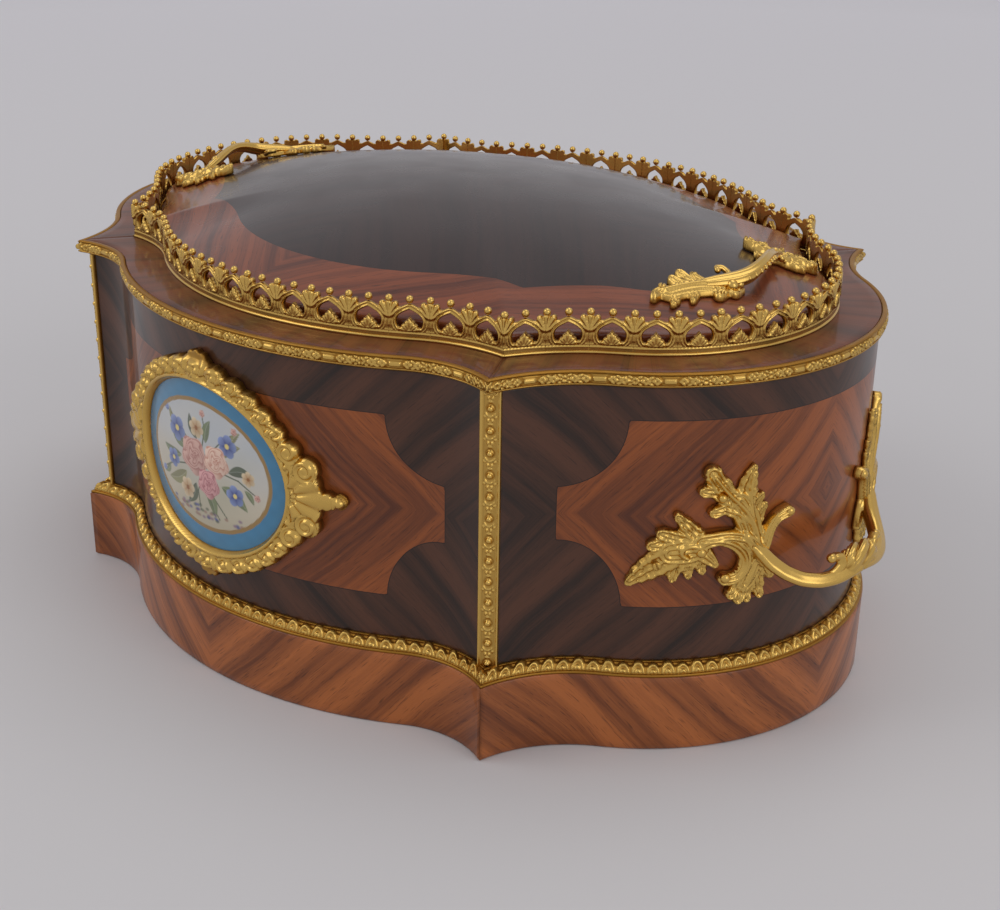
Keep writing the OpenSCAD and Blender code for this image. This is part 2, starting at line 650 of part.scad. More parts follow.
// The pivot of a lifting bail: near the top of each end of the liner
lug_w = bail_w - bail_wire - 5;
liner_r = r_bow_end - liner_in - liner_t;
lug_x = bow_centre(SHORT) + sqrt(liner_r * liner_r - lug_w * lug_w / 4);
pivot_x = bow_centre(SHORT) + liner_r - 5.6;
pivot_z = rebate_z - pivot_in;
eye_d = bail_wire + 2 * pin_gap;
lug_h = 14;
lug_t = 1.4;

// Eyes soldered to the liner for its two lifting bails
module liner_lugs() {
    color([0.6, 0.62, 0.64]) for (s = [0, 180]) rotate([0, 0, s]) difference() {
        union() {
            translate([lug_x - bed - lug_t, -lug_w / 2, pivot_z - lug_h / 2]) cube([lug_t, lug_w, lug_h]);
            translate([pivot_x, -lug_w / 2, pivot_z - 1.2]) cube([lug_x - pivot_x - 1, lug_w, 2.4]);
            translate([pivot_x, lug_w / 2, pivot_z]) rotate([90, 0, 0])
                cylinder(d = eye_d + 3, h = lug_w, $fn = 40);
        }
        translate([pivot_x, lug_w, pivot_z]) rotate([90, 0, 0])
            cylinder(d = eye_d, h = 2 * lug_w, $fn = 40);
    }
}

// A closed wire bail: a bar in the eye, two legs and a round foot
module liner_bail(s) {
    r = bail_w / 2;
    color([0.7, 0.71, 0.72]) rotate([0, 0, s > 0 ? 0 : 180]) translate([pivot_x, 0, pivot_z]) {
        translate([0, r, 0]) rotate([90, 0, 0]) cylinder(d = bail_wire, h = 2 * r, $fn = 32);
        for (e = [-1, 1]) translate([0, e * r, 0]) {
            sphere(d = bail_wire, $fn = 32);
            translate([0, 0, r - bail_drop]) cylinder(d = bail_wire, h = bail_drop - r, $fn = 32);
        }
        translate([0, 0, r - bail_drop]) rotate([0, 90, 0]) rotate([0, 0, -90])
            rotate_extrude(angle = 180, $fn = 64) translate([r, 0]) circle(d = bail_wire, $fn = 32);
    }
}

// The domed shell: rings of the plan drawn in towards the centre, outside and inside
module lid_dome() {
    plan = outline(-lid_in, lid_bow_steps / 2, lid_hollow_steps);
    seat = 1 - frame_w / (corner_x + bow_end);
    out = [0.04, 0.24, 0.46, 0.66, 0.84, 1];
    ins = [seat, 0.7, 0.38, 0.04];
    function ring(t, z) = [for (p = plan) [p[0] * t, p[1] * t, z]];
    color([0.3, 0.19, 0.15]) difference() {
        skin(concat([for (t = out) ring(t, dome_rise(t))], [ring(1, lid_seat), ring(seat, lid_seat)],
            [for (t = ins) ring(t, dome_rise(t) - dome_t)]));
        lid_screw_holes();
    }
}

// The flat frame that the dome is glued to, which lies on the liner's flange
module lid_frame() {
    color([0.5, 0.36, 0.24]) translate([0, 0, lid_z]) linear_extrude(lid_seat - lid_z) difference() {
        polygon(outline(-lid_in));
        polygon(outline(-lid_in - frame_w));
    }
}

// Two bars across the inside of the frame
module lid_battens() {
    color([0.62, 0.48, 0.33]) translate([0, 0, lid_z]) linear_extrude(lid_seat - lid_z)
        for (s = [-1, 1]) intersection() {
            polygon(outline(-lid_in - frame_w - bed));
            translate([s * batten_x, 0]) square([batten_w, beyond], center = true);
        }
}

// Lid handle: a long leaf, an arched grip that bows outwards, and a spray at the other end
knob_long = knob_l * [[0.02, -0.12], [-0.1, -0.5], [-0.04, -1]];
knob_leaves = [[148, 0.54, 26], [95, 0.35, 30], [28, 0.44, 22], [262, 0.19, 40]];
knob_spray = knob_l * [0.04, 0.83];
knob_grip = knob_l * [[0, -0.29], [0.5, 0.25]];
knob_t = 3.2;
knob_crown = 4.6;
knob_screws = knob_l * [[-0.06, -0.73], [0.04, 0.96]];
knob_screw_d = 2.4;

module lid_handle(s) {
    map = function (u, v, h) on_lid(knob_x + u, v, h);
    bar = [for (i = [0:12]) let (t = i / 12, c = curve(concat(knob_grip, [knob_spray]), t))
        [c[0], c[1], knob_t * 0.5 + (knob_gap + knob_d / 2) * pow(sin(180 * t), 1.1),
         knob_d * (0.78 + 0.22 * sin(180 * t))]];
    color([0.83, 0.66, 0.3]) rotate([0, 0, s > 0 ? 0 : 180]) difference() {
        union() {
            skin(backwards(leaf_rings(map, knob_long, 0.19 * knob_l, knob_t, 5, 0.3 * knob_t)));
            skin(spray_rings(map, knob_spray, 0.15 * knob_l, leaves_of(knob_leaves, knob_l), knob_t,
                knob_crown));
            skin(backwards(bar_rings(map, [for (p = bar) [p[0], p[1], p[2]]], [for (p = bar) p[3]])));
        }
        for (q = knob_screws) translate([knob_x + q[0], q[1], 0]) {
            translate([0, 0, lid_top]) cylinder(d = knob_screw_d + 2 * pin_gap, h = 60, $fn = 24);
            translate([0, 0, dome_z(knob_x + q[0], q[1]) + bed + knob_t + 0.1])
                cylinder(d = 2 * knob_screw_d + 4 * pin_gap, h = 20, $fn = 24);
        }
    }
}

// Holes through the dome for the screws of its handles
module lid_screw_holes() {
    for (s = [0, 180], q = knob_screws) rotate([0, 0, s])
        translate([knob_x + q[0], q[1], lid_seat - 1])
            cylinder(d = knob_screw_d + 2 * pin_gap, h = 40, $fn = 24);
}

module lid_handle_screws() {
    color([0.85, 0.7, 0.35]) for (s = [0, 180], q = knob_screws) rotate([0, 0, s]) {
        z = dome_z(knob_x + q[0], q[1]);
        translate([knob_x + q[0], q[1], z - 7]) {
            cylinder(d = knob_screw_d, h = 7 + bed + knob_t + 0.4, $fn = 24);
            translate([0, 0, 7 + bed + knob_t + 0.2]) intersection() {
                translate([0, 0, -0.6]) sphere(r = knob_screw_d, $fn = 24);
                cylinder(d = 2 * knob_screw_d, h = knob_screw_d, $fn = 24);
            }
        }
    }
}

plinth(0);  // plinth_front
plinth(1);  // plinth_right
plinth(2);  // plinth_back
plinth(3);  // plinth_left
base_board();
case_wall(0);  // case_front
case_wall(1);  // case_right
case_wall(2);  // case_back
case_wall(3);  // case_left
corner_blocks();
glue_blocks();
top_rim(0);  // top_rim_front
top_rim(1);  // top_rim_right
top_rim(2);  // top_rim_back
top_rim(3);  // top_rim_left
edge_moulding(0);  // edge_moulding_front
edge_moulding(1);  // edge_moulding_right
edge_moulding(2);  // edge_moulding_back
edge_moulding(3);  // edge_moulding_left
base_moulding(0);  // base_moulding_front
base_moulding(1);  // base_moulding_right
base_moulding(2);  // base_moulding_back
base_moulding(3);  // base_moulding_left
corner_strip(CORNERS[0]);  // corner_strip_front_right
corner_strip(CORNERS[1]);  // corner_strip_back_right
corner_strip(CORNERS[2]);  // corner_strip_back_left
corner_strip(CORNERS[3]);  // corner_strip_front_left
gallery(0);  // gallery_front
gallery(1);  // gallery_right
gallery(2);  // gallery_back
gallery(3);  // gallery_left
plaque();
plaque_frame();
end_handle(1);  // end_handle_right
end_handle(3);  // end_handle_left
end_handle_screws();
liner();
liner_lugs();
liner_bail(1);  // liner_bail_right
liner_bail(-1);  // liner_bail_left
lid_dome();
lid_frame();
lid_battens();
lid_handle(1);  // lid_handle_right
lid_handle(-1);  // lid_handle_left
lid_handle_screws();
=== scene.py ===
# %% [markdown]
# # A table jardiniere: veneered wood, gilt mounts and a porcelain plaque
# The real object is a low planter box on a plinth. Four serpentine walls are veneered in two
# woods, and everything gold is cast brass, chased and fire-gilt, then pinned over the joints.
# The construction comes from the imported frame. This lesson dresses it: each polished board
# becomes a smooth surface, and each casting gets its relief as real geometry.

# %% Load the frame and keep its box
import json
import math

import bpy
import numpy as np
from mathutils import Matrix

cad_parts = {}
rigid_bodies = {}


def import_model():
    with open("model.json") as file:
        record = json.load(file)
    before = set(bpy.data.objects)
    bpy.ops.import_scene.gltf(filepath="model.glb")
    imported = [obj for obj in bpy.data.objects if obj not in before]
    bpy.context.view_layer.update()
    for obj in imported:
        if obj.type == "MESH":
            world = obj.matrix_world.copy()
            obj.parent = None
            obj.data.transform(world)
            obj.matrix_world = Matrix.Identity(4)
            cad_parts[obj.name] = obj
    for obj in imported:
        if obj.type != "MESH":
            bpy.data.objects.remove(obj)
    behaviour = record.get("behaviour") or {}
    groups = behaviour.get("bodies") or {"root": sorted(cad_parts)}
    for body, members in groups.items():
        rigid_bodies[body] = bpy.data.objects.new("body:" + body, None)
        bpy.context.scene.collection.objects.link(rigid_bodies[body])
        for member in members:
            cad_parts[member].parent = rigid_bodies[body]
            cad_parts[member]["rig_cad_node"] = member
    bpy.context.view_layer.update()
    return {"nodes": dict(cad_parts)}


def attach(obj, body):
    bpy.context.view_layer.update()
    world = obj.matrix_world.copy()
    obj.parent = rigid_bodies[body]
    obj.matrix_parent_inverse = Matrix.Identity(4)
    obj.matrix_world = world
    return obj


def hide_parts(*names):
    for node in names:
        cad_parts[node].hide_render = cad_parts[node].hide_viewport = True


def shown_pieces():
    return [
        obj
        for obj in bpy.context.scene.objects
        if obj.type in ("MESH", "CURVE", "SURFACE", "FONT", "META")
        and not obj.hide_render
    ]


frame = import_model()
print("nodes in the frame:", len(frame["nodes"]))

# %% [markdown]
# ## The plan of the case
# Every side is one bow between two hollows, and all of its boards and castings follow it at
# some offset. The arcs could be traced point by point. Two radii and a corner hold the same
# shape, and an offset then only changes the radii, so boards and mounts nest exactly.

# %% Driving sizes, in metres
CORNER_X, CORNER_Y = 0.1392, 0.1320
LONG = {"half": CORNER_X, "line": CORNER_Y, "bow": 0.0338, "r_bow": 0.1724, "r_hollow": 0.0474}
SHORT = {"half": CORNER_Y, "line": CORNER_X, "bow": 0.0758, "r_bow": 0.1075, "r_hollow": 0.0655}
SIDES = ("front", "right", "back", "left")
ARCS = (LONG, SHORT, LONG, SHORT)
TURNS = (math.pi, -math.pi / 2, 0.0, math.pi / 2)
CASE_H, PLINTH_H = 0.169, 0.035
EDGE_H, FOOT_H = 0.006, 0.006
WALL_IN, PLINTH_OUT, LEDGE_W = 0.003, 0.0026, 0.026
GALLERY_IN, GALLERY_H, LID_IN = 0.022, 0.0187, 0.0264
BED = 0.0003


# %% Arcs of the plan
def add_arcs(g):
    """Bow centre, hollow centre and the angle where bow and hollow touch: the hollow is the
    circle through the corner that touches the bow from outside."""
    y0, c, r, big = g["bow"] - g["r_bow"], g["half"], g["r_hollow"], g["r_bow"]
    k = ((big + r) ** 2 - r * r - y0 * y0 + c * c) / (2 * c)
    a, b, d = (y0 / c) ** 2 + 1, 2 * (k - c) * y0 / c, (k - c) ** 2 - r * r
    v = (-b + math.sqrt(b * b - 4 * a * d)) / (2 * a)
    g["centre"] = g["line"] + y0
    g["hollow"] = (k + y0 * v / c, g["line"] + v)
    g["turn"] = math.atan2(g["hollow"][0], g["hollow"][1] - g["centre"])


add_arcs(LONG)
add_arcs(SHORT)


def corner(o):
    """Corner of the plan in the first quadrant at offset o: where the two hollows cross."""
    f, e = np.array(LONG["hollow"]), np.array(SHORT["hollow"])[::-1]
    rf, re = LONG["r_hollow"] - o, SHORT["r_hollow"] - o
    d = e - f
    n = math.hypot(*d)
    a = (rf * rf - re * re + n * n) / (2 * n)
    h = np.sqrt(rf * rf - a * a)
    return f[0] + (d[0] * a + d[1] * h) / n, f[1] + (d[1] * a - d[0] * h) / n


def end_turn(g, o):
    """Turning angle at which a side's hollow meets the corner, at offset o."""
    x, y = corner(o)
    along, out = (x, y) if g is LONG else (y, x)
    return np.arctan2(g["hollow"][0] - along, g["hollow"][1] - out)


def half_length(g, o):
    """Arc length of half a side at offset o: its bow's part and its hollow's part."""
    bow = (g["r_bow"] + o) * g["turn"]
    return bow, (g["r_hollow"] - o) * float(g["turn"] - end_turn(g, o))


def limits(k, o):
    """Arc length from the middle of side k to the mitre, at offset o."""
    return sum(half_length(ARCS[k], o))


def place(k, s, o, ref):
    """Plan point of side k at arc length s from its middle, measured at offset ref, and moved
    out by o: it runs along the bow first, then along the hollow up to the mitre."""
    g = ARCS[k]
    s, o = np.broadcast_arrays(np.asarray(s, float), np.asarray(o, float))
    bow, hollow = half_length(g, ref)
    t = np.abs(s)
    on_bow, share = t < bow, np.clip((t - bow) / hollow, 0, 1)
    a = np.where(on_bow, t / (g["r_bow"] + ref), g["turn"] + share * (end_turn(g, o) - g["turn"]))
    x = np.where(on_bow, (g["r_bow"] + o) * np.sin(a),
                 g["hollow"][0] - (g["r_hollow"] - o) * np.sin(a)) * np.sign(s)
    y = np.where(on_bow, g["centre"] + (g["r_bow"] + o) * np.cos(a),
                 g["hollow"][1] - (g["r_hollow"] - o) * np.cos(a))
    c, w = math.cos(TURNS[k]), math.sin(TURNS[k])
    return x * c - y * w, x * w + y * c


for name, g in (("long", LONG), ("short", SHORT)):
    print(name, "side: bow and hollow turn", round(math.degrees(g["turn"]), 1), "degrees")

# %% [markdown]
# ## From arrays to meshes
# A moulding is one section carried along a path, and a relief is a height over a sheet. So each
# surface here is a whole array of points. Faces could be made one by one; arrays are quicker and
# keep every seam closed by construction. Closed meshes are turned so that they face outwards.

# %% Mesh helpers
def outward(points, faces):
    """Turns the faces of a closed part so that its signed volume, a sum of tetrahedra from the
    part's centre, is positive."""
    p = points - points.mean(0)
    volume = 0.0
    for f in faces:
        for i in range(1, f.shape[1] - 1):
            volume += np.einsum("ij,ij->", p[f[:, 0]], np.cross(p[f[:, i]], p[f[:, i + 1]]))
    return [f[:, ::-1] for f in faces] if volume < 0 else faces


def new_object(name, points, faces, attributes=None, sheet=None, closed=True):
    """A smooth mesh from points (n, 3) and arrays of faces; attributes hold one value (or one
    colour) per point; sheet is the UV in metres of each point; a closed mesh faces outwards."""
    points = np.ascontiguousarray(points, dtype=np.float64)
    if closed:
        faces = outward(points, faces)
    loops = np.concatenate([f.ravel() for f in faces]).astype(np.int32)
    sizes = np.concatenate([np.full(len(f), f.shape[1]) for f in faces])
    mesh = bpy.data.meshes.new(name)
    mesh.vertices.add(len(points))
    mesh.vertices.foreach_set("co", points.ravel())
    mesh.loops.add(len(loops))
    mesh.loops.foreach_set("vertex_index", loops)
    mesh.polygons.add(len(sizes))
    mesh.polygons.foreach_set("loop_start", (np.cumsum(sizes) - sizes).astype(np.int32))
    mesh.polygons.foreach_set("use_smooth", np.full(len(sizes), True))
    mesh.update(calc_edges=True)
    if sheet is not None:
        mesh.uv_layers.new(name="sheet").data.foreach_set("uv", np.asarray(sheet)[loops].ravel())
    for key, values in (attributes or {}).items():
        values = np.asarray(values, float)
        if values.ndim == 2:
            data = mesh.attributes.new(key, "FLOAT_COLOR", "POINT").data
            data.foreach_set("color", np.c_[values, np.ones(len(values))].ravel())
        else:
            mesh.attributes.new(key, "FLOAT", "POINT").data.foreach_set("value", values)
    mesh.validate()
    obj = bpy.data.objects.new(name, mesh)
    bpy.context.scene.collection.objects.link(obj)
    return obj


def mount(obj, node, material, body="case"):
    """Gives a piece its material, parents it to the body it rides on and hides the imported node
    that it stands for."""
    obj.data.materials.append(material)
    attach(obj, body)
    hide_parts(node)


def merged(parts):
    """Puts several closed (points, faces, attributes) together as one set, each facing out."""
    points, faces, attributes, first = [], [], {}, 0
    for p, f, a in parts:
        points.append(p)
        faces += [g + first for g in outward(p, f)]
        for key in a:
            attributes.setdefault(key, []).append(a[key])
        first += len(p)
    return np.concatenate(points), faces, {k: np.concatenate(v) for k, v in attributes.items()}


def tube_parts(rings):
    """A closed skin over rings (n, m, 3): quads between them and a flat lid at each end."""
    n, m = rings.shape[:2]
    i, j = m * np.arange(n - 1)[:, None], np.arange(m)
    after = (j + 1) % m
    quads = np.stack([i + j, i + after, i + m + after, i + m + j], -1).reshape(-1, 4)
    return rings.reshape(-1, 3), [quads, j[None, ::-1], (n - 1) * m + j[None]]


# %% Curves and points
def smooth_step(x, low, high):
    """0 below low, 1 above high, and a soft slope between."""
    t = np.clip((x - low) / (high - low), 0, 1)
    return t * t * (3 - 2 * t)


def bump(x, width):
    """A rounded ridge of half the given width at x = 0: the upper half of a cosine."""
    return np.where(np.abs(x) < width, 0.5 + 0.5 * np.cos(np.pi * np.clip(x / width, -1, 1)), 0.0)


def dome(x):
    """A round cap over -1 to 1: the upper half of a circle."""
    return np.sqrt(np.clip(1 - x ** 2, 0, 1))


def circle(n):
    """n even angles round a full turn."""
    return np.linspace(0, 2 * math.pi, n, endpoint=False)


def ball(centre, r, rings, around, gap):
    """Rings of a ball from pole to pole, each pole cut off at the angle gap."""
    a, b = np.linspace(gap, math.pi - gap, rings)[:, None], circle(around)
    return np.stack([centre[0] + r * np.sin(a) * np.cos(b), centre[1] + r * np.sin(a) * np.sin(b),
                     centre[2] - r * np.cos(a) + 0 * b], -1)


def spaced(points, step, closed=False):
    """A polyline with points added so that none lie further apart than step."""
    points = np.asarray(points, float)
    out = []
    for a, b in zip(points, np.roll(points, -1, 0) if closed else points[1:]):
        n = max(1, int(np.ceil(np.hypot(*(b - a)) / step)))
        out += [a + (b - a) * i / n for i in range(n)]
    return np.array(out if closed else out + [points[-1]])


# %% Mouldings
def sweep(name, k, section, step, relief=None, field=None, inset=1e-4, middle=0.0):
    """A moulding: a closed section of (offset, height) points carried along side k. relief gives
    how far each point moves out along the section's normal, from its station and its place
    round the section; field gives the marquetry's line, from station and height. The last
    station lies on the mitre, drawn back by the inset; the sheet's middle is at a height."""
    section = np.asarray(section, float)
    ref = float(section[:, 0].max())
    end = limits(k, ref) - inset
    s = np.linspace(-end, end, 2 * int(np.ceil(end / step)) + 1)[:, None]
    around = np.r_[0, np.cumsum(np.hypot(*np.diff(section, axis=0).T))]
    ahead = np.roll(section, -1, 0)
    tangent = ahead - np.roll(section, 1, 0)
    normal = np.c_[tangent[:, 1], -tangent[:, 0]] / np.maximum(np.hypot(*tangent.T), 1e-9)[:, None]
    normal *= np.sign(np.sum(section[:, 0] * ahead[:, 1] - ahead[:, 0] * section[:, 1]))
    h = relief(s, around) if relief else 0 * s * around
    o, z = (section[:, i] + normal[:, i] * h for i in (0, 1))
    s = np.broadcast_to(s, z.shape)
    points, faces = tube_parts(np.stack([*place(k, s, o, ref), z], -1))
    attributes = {"relief": (h / max(1e-6, h.max())).ravel()} if relief else {}
    if field:
        attributes["field"] = np.broadcast_to(field(s, z), z.shape).ravel()
    return new_object(name, points, faces, attributes, np.stack([s, z - middle], -1).reshape(-1, 2))

# %% [markdown]
# ## Finishes
# The veneer is sawn so thin that its figure only varies along two directions: fast across the
# grain and slowly along it. Stretched noise says that in a few nodes, at any resolution, where a
# photograph of a board would bring its own light and edges. Mirror-matched sheets come from
# taking the size of each coordinate, because neighbouring leaves are cut from the same flitch.

# %% Node helpers
def tone(r, g, b):
    """A colour on screen, 0 to 255, as linear light."""
    c = np.array([r, g, b]) / 255
    return (*np.where(c < 0.04045, c / 12.92, ((c + 0.055) / 1.055) ** 2.4), 1.0)


class Tree:
    """Adds nodes to a node tree. An input i0 is the first one, and in the name of another an
    underscore stands for a space; a socket is linked to it, and a value is set on it."""

    def __init__(self, tree):
        self.tree = tree

    def feed(self, node, inputs):
        """Links or sets a node's inputs."""
        for key, value in inputs.items():
            socket = node.inputs[int(key[1:]) if key[1:].isdigit() else key.replace("_", " ")]
            if isinstance(value, bpy.types.NodeSocket):
                self.tree.links.new(value, socket)
            else:
                socket.default_value = value

    def add(self, kind, out=0, props=(), **inputs):
        """Adds a node of a kind and returns one of its outputs."""
        node = self.tree.nodes.new("ShaderNode" + kind)
        for key, value in dict(props).items():
            setattr(node, key, value)
        self.feed(node, inputs)
        return node.outputs[out]

    def give(self, kind, **inputs):
        """Feeds the node of this type that the tree already has, such as its surface."""
        self.feed(next(n for n in self.tree.nodes if n.type == kind), inputs)

    def math(self, op, a, b=0.0):
        return self.add("Math", props={"operation": op}, i0=a, i1=b)

    def times(self, a, b):
        return self.math("MULTIPLY", a, b)

    def plus(self, a, b):
        return self.math("ADD", a, b)

    def mix(self, factor, a, b):
        return self.add("Mix", out=2, props={"data_type": "RGBA"}, i0=factor, i6=a, i7=b)

    def noise(self, vector, scale, detail=3.0, rough=0.5):
        return self.add("TexNoise", props={"noise_dimensions": "3D"}, Vector=vector,
                        Scale=scale, Detail=detail, Roughness=rough)

    def ramp(self, value, low, high, a=0.0, b=1.0):
        return self.add("MapRange", i0=value, i1=low, i2=high, i3=a, i4=b)

    def own(self):
        """Coordinates of the object itself."""
        return self.add("TexCoord", out=3)

    def split(self, vector):
        """The three parts of a vector."""
        return self.add("SeparateXYZ", i0=vector).node.outputs[:3]

    def attribute(self, name, out=2):
        return self.add("Attribute", out=out, props={"attribute_name": name})

    def group(self, tree, out=0, **inputs):
        return self.add("Group", out, {"node_tree": tree}, **inputs)


# %% Groups and materials
def new_group(name, inputs, outputs):
    """An empty node group with its interface: (name, socket type, value) rows."""
    tree = bpy.data.node_groups.new(name, "ShaderNodeTree")
    for label, kind, value in inputs:
        socket = tree.interface.new_socket(label, in_out="INPUT", socket_type="NodeSocket" + kind)
        if value is not None:
            socket.default_value = value
    for label, kind in outputs:
        tree.interface.new_socket(label, in_out="OUTPUT", socket_type="NodeSocket" + kind)
    start = tree.nodes.new("NodeGroupInput")
    tree.nodes.new("NodeGroupOutput")
    return Tree(tree), {s.name: s for s in start.outputs}


def new_material(name):
    """A material with a Principled surface, and the helper for its nodes."""
    material = bpy.data.materials.new(name)
    material.use_nodes = True
    return material, Tree(material.node_tree)


# %% Veneer figure: stripes of colour, fine grain lines and open pores
grain, grain_in = new_group(
    "veneer figure", [("Along", "Float", None), ("Across", "Float", None), ("Seed", "Float", 0.0),
                      ("Stripe", "Float", 160.0)], [("Stripes", "Float"), ("Pores", "Float")])


def stretched(along, across, *detail):
    """Noise over the sheet, drawn out by how often it changes per metre along and across."""
    x = grain.times(grain_in["Along"], along) if along != 1 else grain_in["Along"]
    spot = grain.add("CombineXYZ", X=x, Y=across, Z=grain_in["Seed"])
    return grain.noise(spot, *detail)


wander = stretched(1, grain_in["Across"], 14.0, 2.0)
across = grain.plus(grain_in["Across"], grain.times(wander, 0.008))
wide = stretched(3.0, grain.times(across, grain_in["Stripe"]), 1.0, 4.0, 0.65)
lines = stretched(22.0, grain.times(across, 1400.0), 1.0, 2.0)
pores = stretched(130.0, grain.times(across, 2600.0), 1.0, 1.0)
grain.give("GROUP_OUTPUT", Pores=grain.ramp(pores, 0.62, 0.72), Stripes=grain.plus(
    grain.ramp(wide, 0.34, 0.60), grain.ramp(lines, 0.2, 0.8, -0.16, 0.16)))

# %% Gilding: chased brass, burnished where it is proud and matt in the ground; the ground's colour is also darkened as painted shade in the recesses
gilding_with_shade, gilding_with_shade_in = new_group("gilding", [("Relief", "Float", 0.5)],
                          [("Color", "Color"), ("Roughness", "Float"), ("Grain", "Float")])
cloud, stipple = gilding_with_shade.noise(gilding_with_shade.own(), 60.0, 3.0), gilding_with_shade.noise(gilding_with_shade.own(), 2600.0, 2.0)
uneven = gilding_with_shade.times(gilding_with_shade.math("SUBTRACT", cloud, 0.5), 0.35)
proud = gilding_with_shade.ramp(gilding_with_shade.plus(gilding_with_shade_in["Relief"], uneven), 0.0, 0.6)
# The colour runs from a dark ground to a bright top by relief: partly the real matt and burnished
# gilding, partly painted shade in the recesses.
gilding_with_shade.give("GROUP_OUTPUT", Color=gilding_with_shade.mix(proud, tone(166, 120, 50), tone(220, 181, 98)),
          Roughness=gilding_with_shade.ramp(proud, 0.0, 1.0, 0.45, 0.23),
          Grain=gilding_with_shade.times(stipple, gilding_with_shade.ramp(proud, 0.0, 1.0, 1.0, 0.2)))

# Fire-gilt brass: how proud each point stands comes from the mesh's attribute relief, and low
# points take the darker colour as painted shade.
gilt, t = new_material("gilt_brass")
relief = t.attribute("relief")
colour, rough, stippled = (t.group(gilding_with_shade.tree, i, Relief=relief) for i in range(3))
t.give("BSDF_PRINCIPLED", Base_Color=colour, Roughness=rough, Metallic=1.0,
       Normal=t.add("Bump", Strength=0.25, Distance=0.0002, Height=stippled))

# %% Veneers
PORE, LINE = tone(22, 10, 8), tone(30, 17, 12)


def veneer_material(name, inside, ground, stripe, gloss, coat=0.36, crossed=False):
    """Two veneers in one sheet, each a pair of light and dark tones, quarter-matched about the
    middle. The attribute field is the distance to the line between them in millimetres, below
    zero inside it. crossed turns the figure inside it by a right angle."""
    material, t = new_material(name)
    sheet = t.add("UVMap", props={"uv_map": "sheet"})
    u, v = (t.math("ABSOLUTE", c) for c in t.split(sheet)[:2])
    ways = [t.times(t.math(op, u, v), math.sqrt(0.5)) for op in ("SUBTRACT", "ADD")]
    along, across = ways[::-1] if crossed else ways
    across = t.plus(across, t.times(t.noise(sheet, 9.0, 1.0), 0.01))
    field = t.attribute("field")
    colours = []
    for a, c, seed, (light, dark) in ((along, across, 1.7, inside), (across, along, 8.3, ground)):
        figure, pores = (t.group(grain.tree, i, Along=a, Across=c, Seed=seed, Stripe=stripe)
                         for i in (0, 1))
        colours.append(t.mix(t.times(pores, 0.5), t.mix(figure, tone(*dark), tone(*light)), PORE))
    line = t.math("SUBTRACT", 1.0, t.ramp(t.math("ABSOLUTE", field), 0.12, 0.22))
    t.give("BSDF_PRINCIPLED", Coat_Weight=coat, Coat_Roughness=0.08, Specular_IOR_Level=0.28,
           Base_Color=t.mix(line, t.mix(t.ramp(field, -0.05, 0.05), *colours), LINE),
           Roughness=t.ramp(t.noise(t.own(), 35.0, 2.0), 0.3, 0.7, gloss, gloss + 0.1))
    return material


HONEY = ((186, 108, 54), (114, 60, 30))
DULL = ((120, 64, 36), (78, 42, 24))
veneer = veneer_material("veneer", ((160, 86, 38), (88, 43, 22)), ((88, 53, 35), (41, 26, 18)),
                         80.0, 0.32)
plinth_veneer = veneer_material("veneer_plinth", HONEY, HONEY, 80.0, 0.34)
ledge_veneer = veneer_material("veneer_ledge", DULL, DULL, 60.0, 0.42, coat=0.28)
print("finishes:", [m.name for m in bpy.data.materials if m.name.startswith(("veneer", "gilt"))])

# %% [markdown]
# ## The veneered boards
# A serpentine wall is built up from shaped blocks and veneered with leaves that are only half a
# millimetre thick, bent to the curve. The line between the two woods is a distance, worked out
# for each point, so the same few lines draw straight edges, notches and the lid's inner field.

# %% Distance to the marquetry's line
def cartouche(u, z, half, mid, tall, notch, tip):
    """Distance in mm to a long panel whose corners are hollowed by quarter ellipses that leave
    a tip of half height tip at each end; below zero inside."""
    du, dv = np.abs(u) - half, np.abs(z - mid) - tall
    bite = (1 - np.hypot(du / notch, dv / (tall - tip))) * notch
    return 1000 * np.maximum(np.maximum(du, dv), bite)


FRONT_PANEL = dict(half=0.1189, mid=0.1018, tall=0.0414, notch=0.0262, tip=0.0129)
END_PANEL = dict(half=0.1240, mid=0.1070, tall=0.0415, notch=0.0278, tip=0.0119)
WALL_T, PLINTH_T, LEDGE_IN, LEDGE_T, LEDGE_DROP = 0.011, 0.016, 0.033, 0.005, 0.010
LIP, ONE_WOOD = CASE_H - EDGE_H - 0.0001, 5.0


def rounded(section, cut):
    """A closed section with each corner cut off by a small flat."""
    p = np.asarray(section, float)
    sides = [np.roll(p, 1, 0) - p, np.roll(p, -1, 0) - p]
    cuts = [np.minimum(cut, np.hypot(*d.T) * 0.4)[:, None] / np.hypot(*d.T)[:, None] * d
            for d in sides]
    return np.stack([p + cuts[0], p + cuts[1]], 1).reshape(-1, 2)


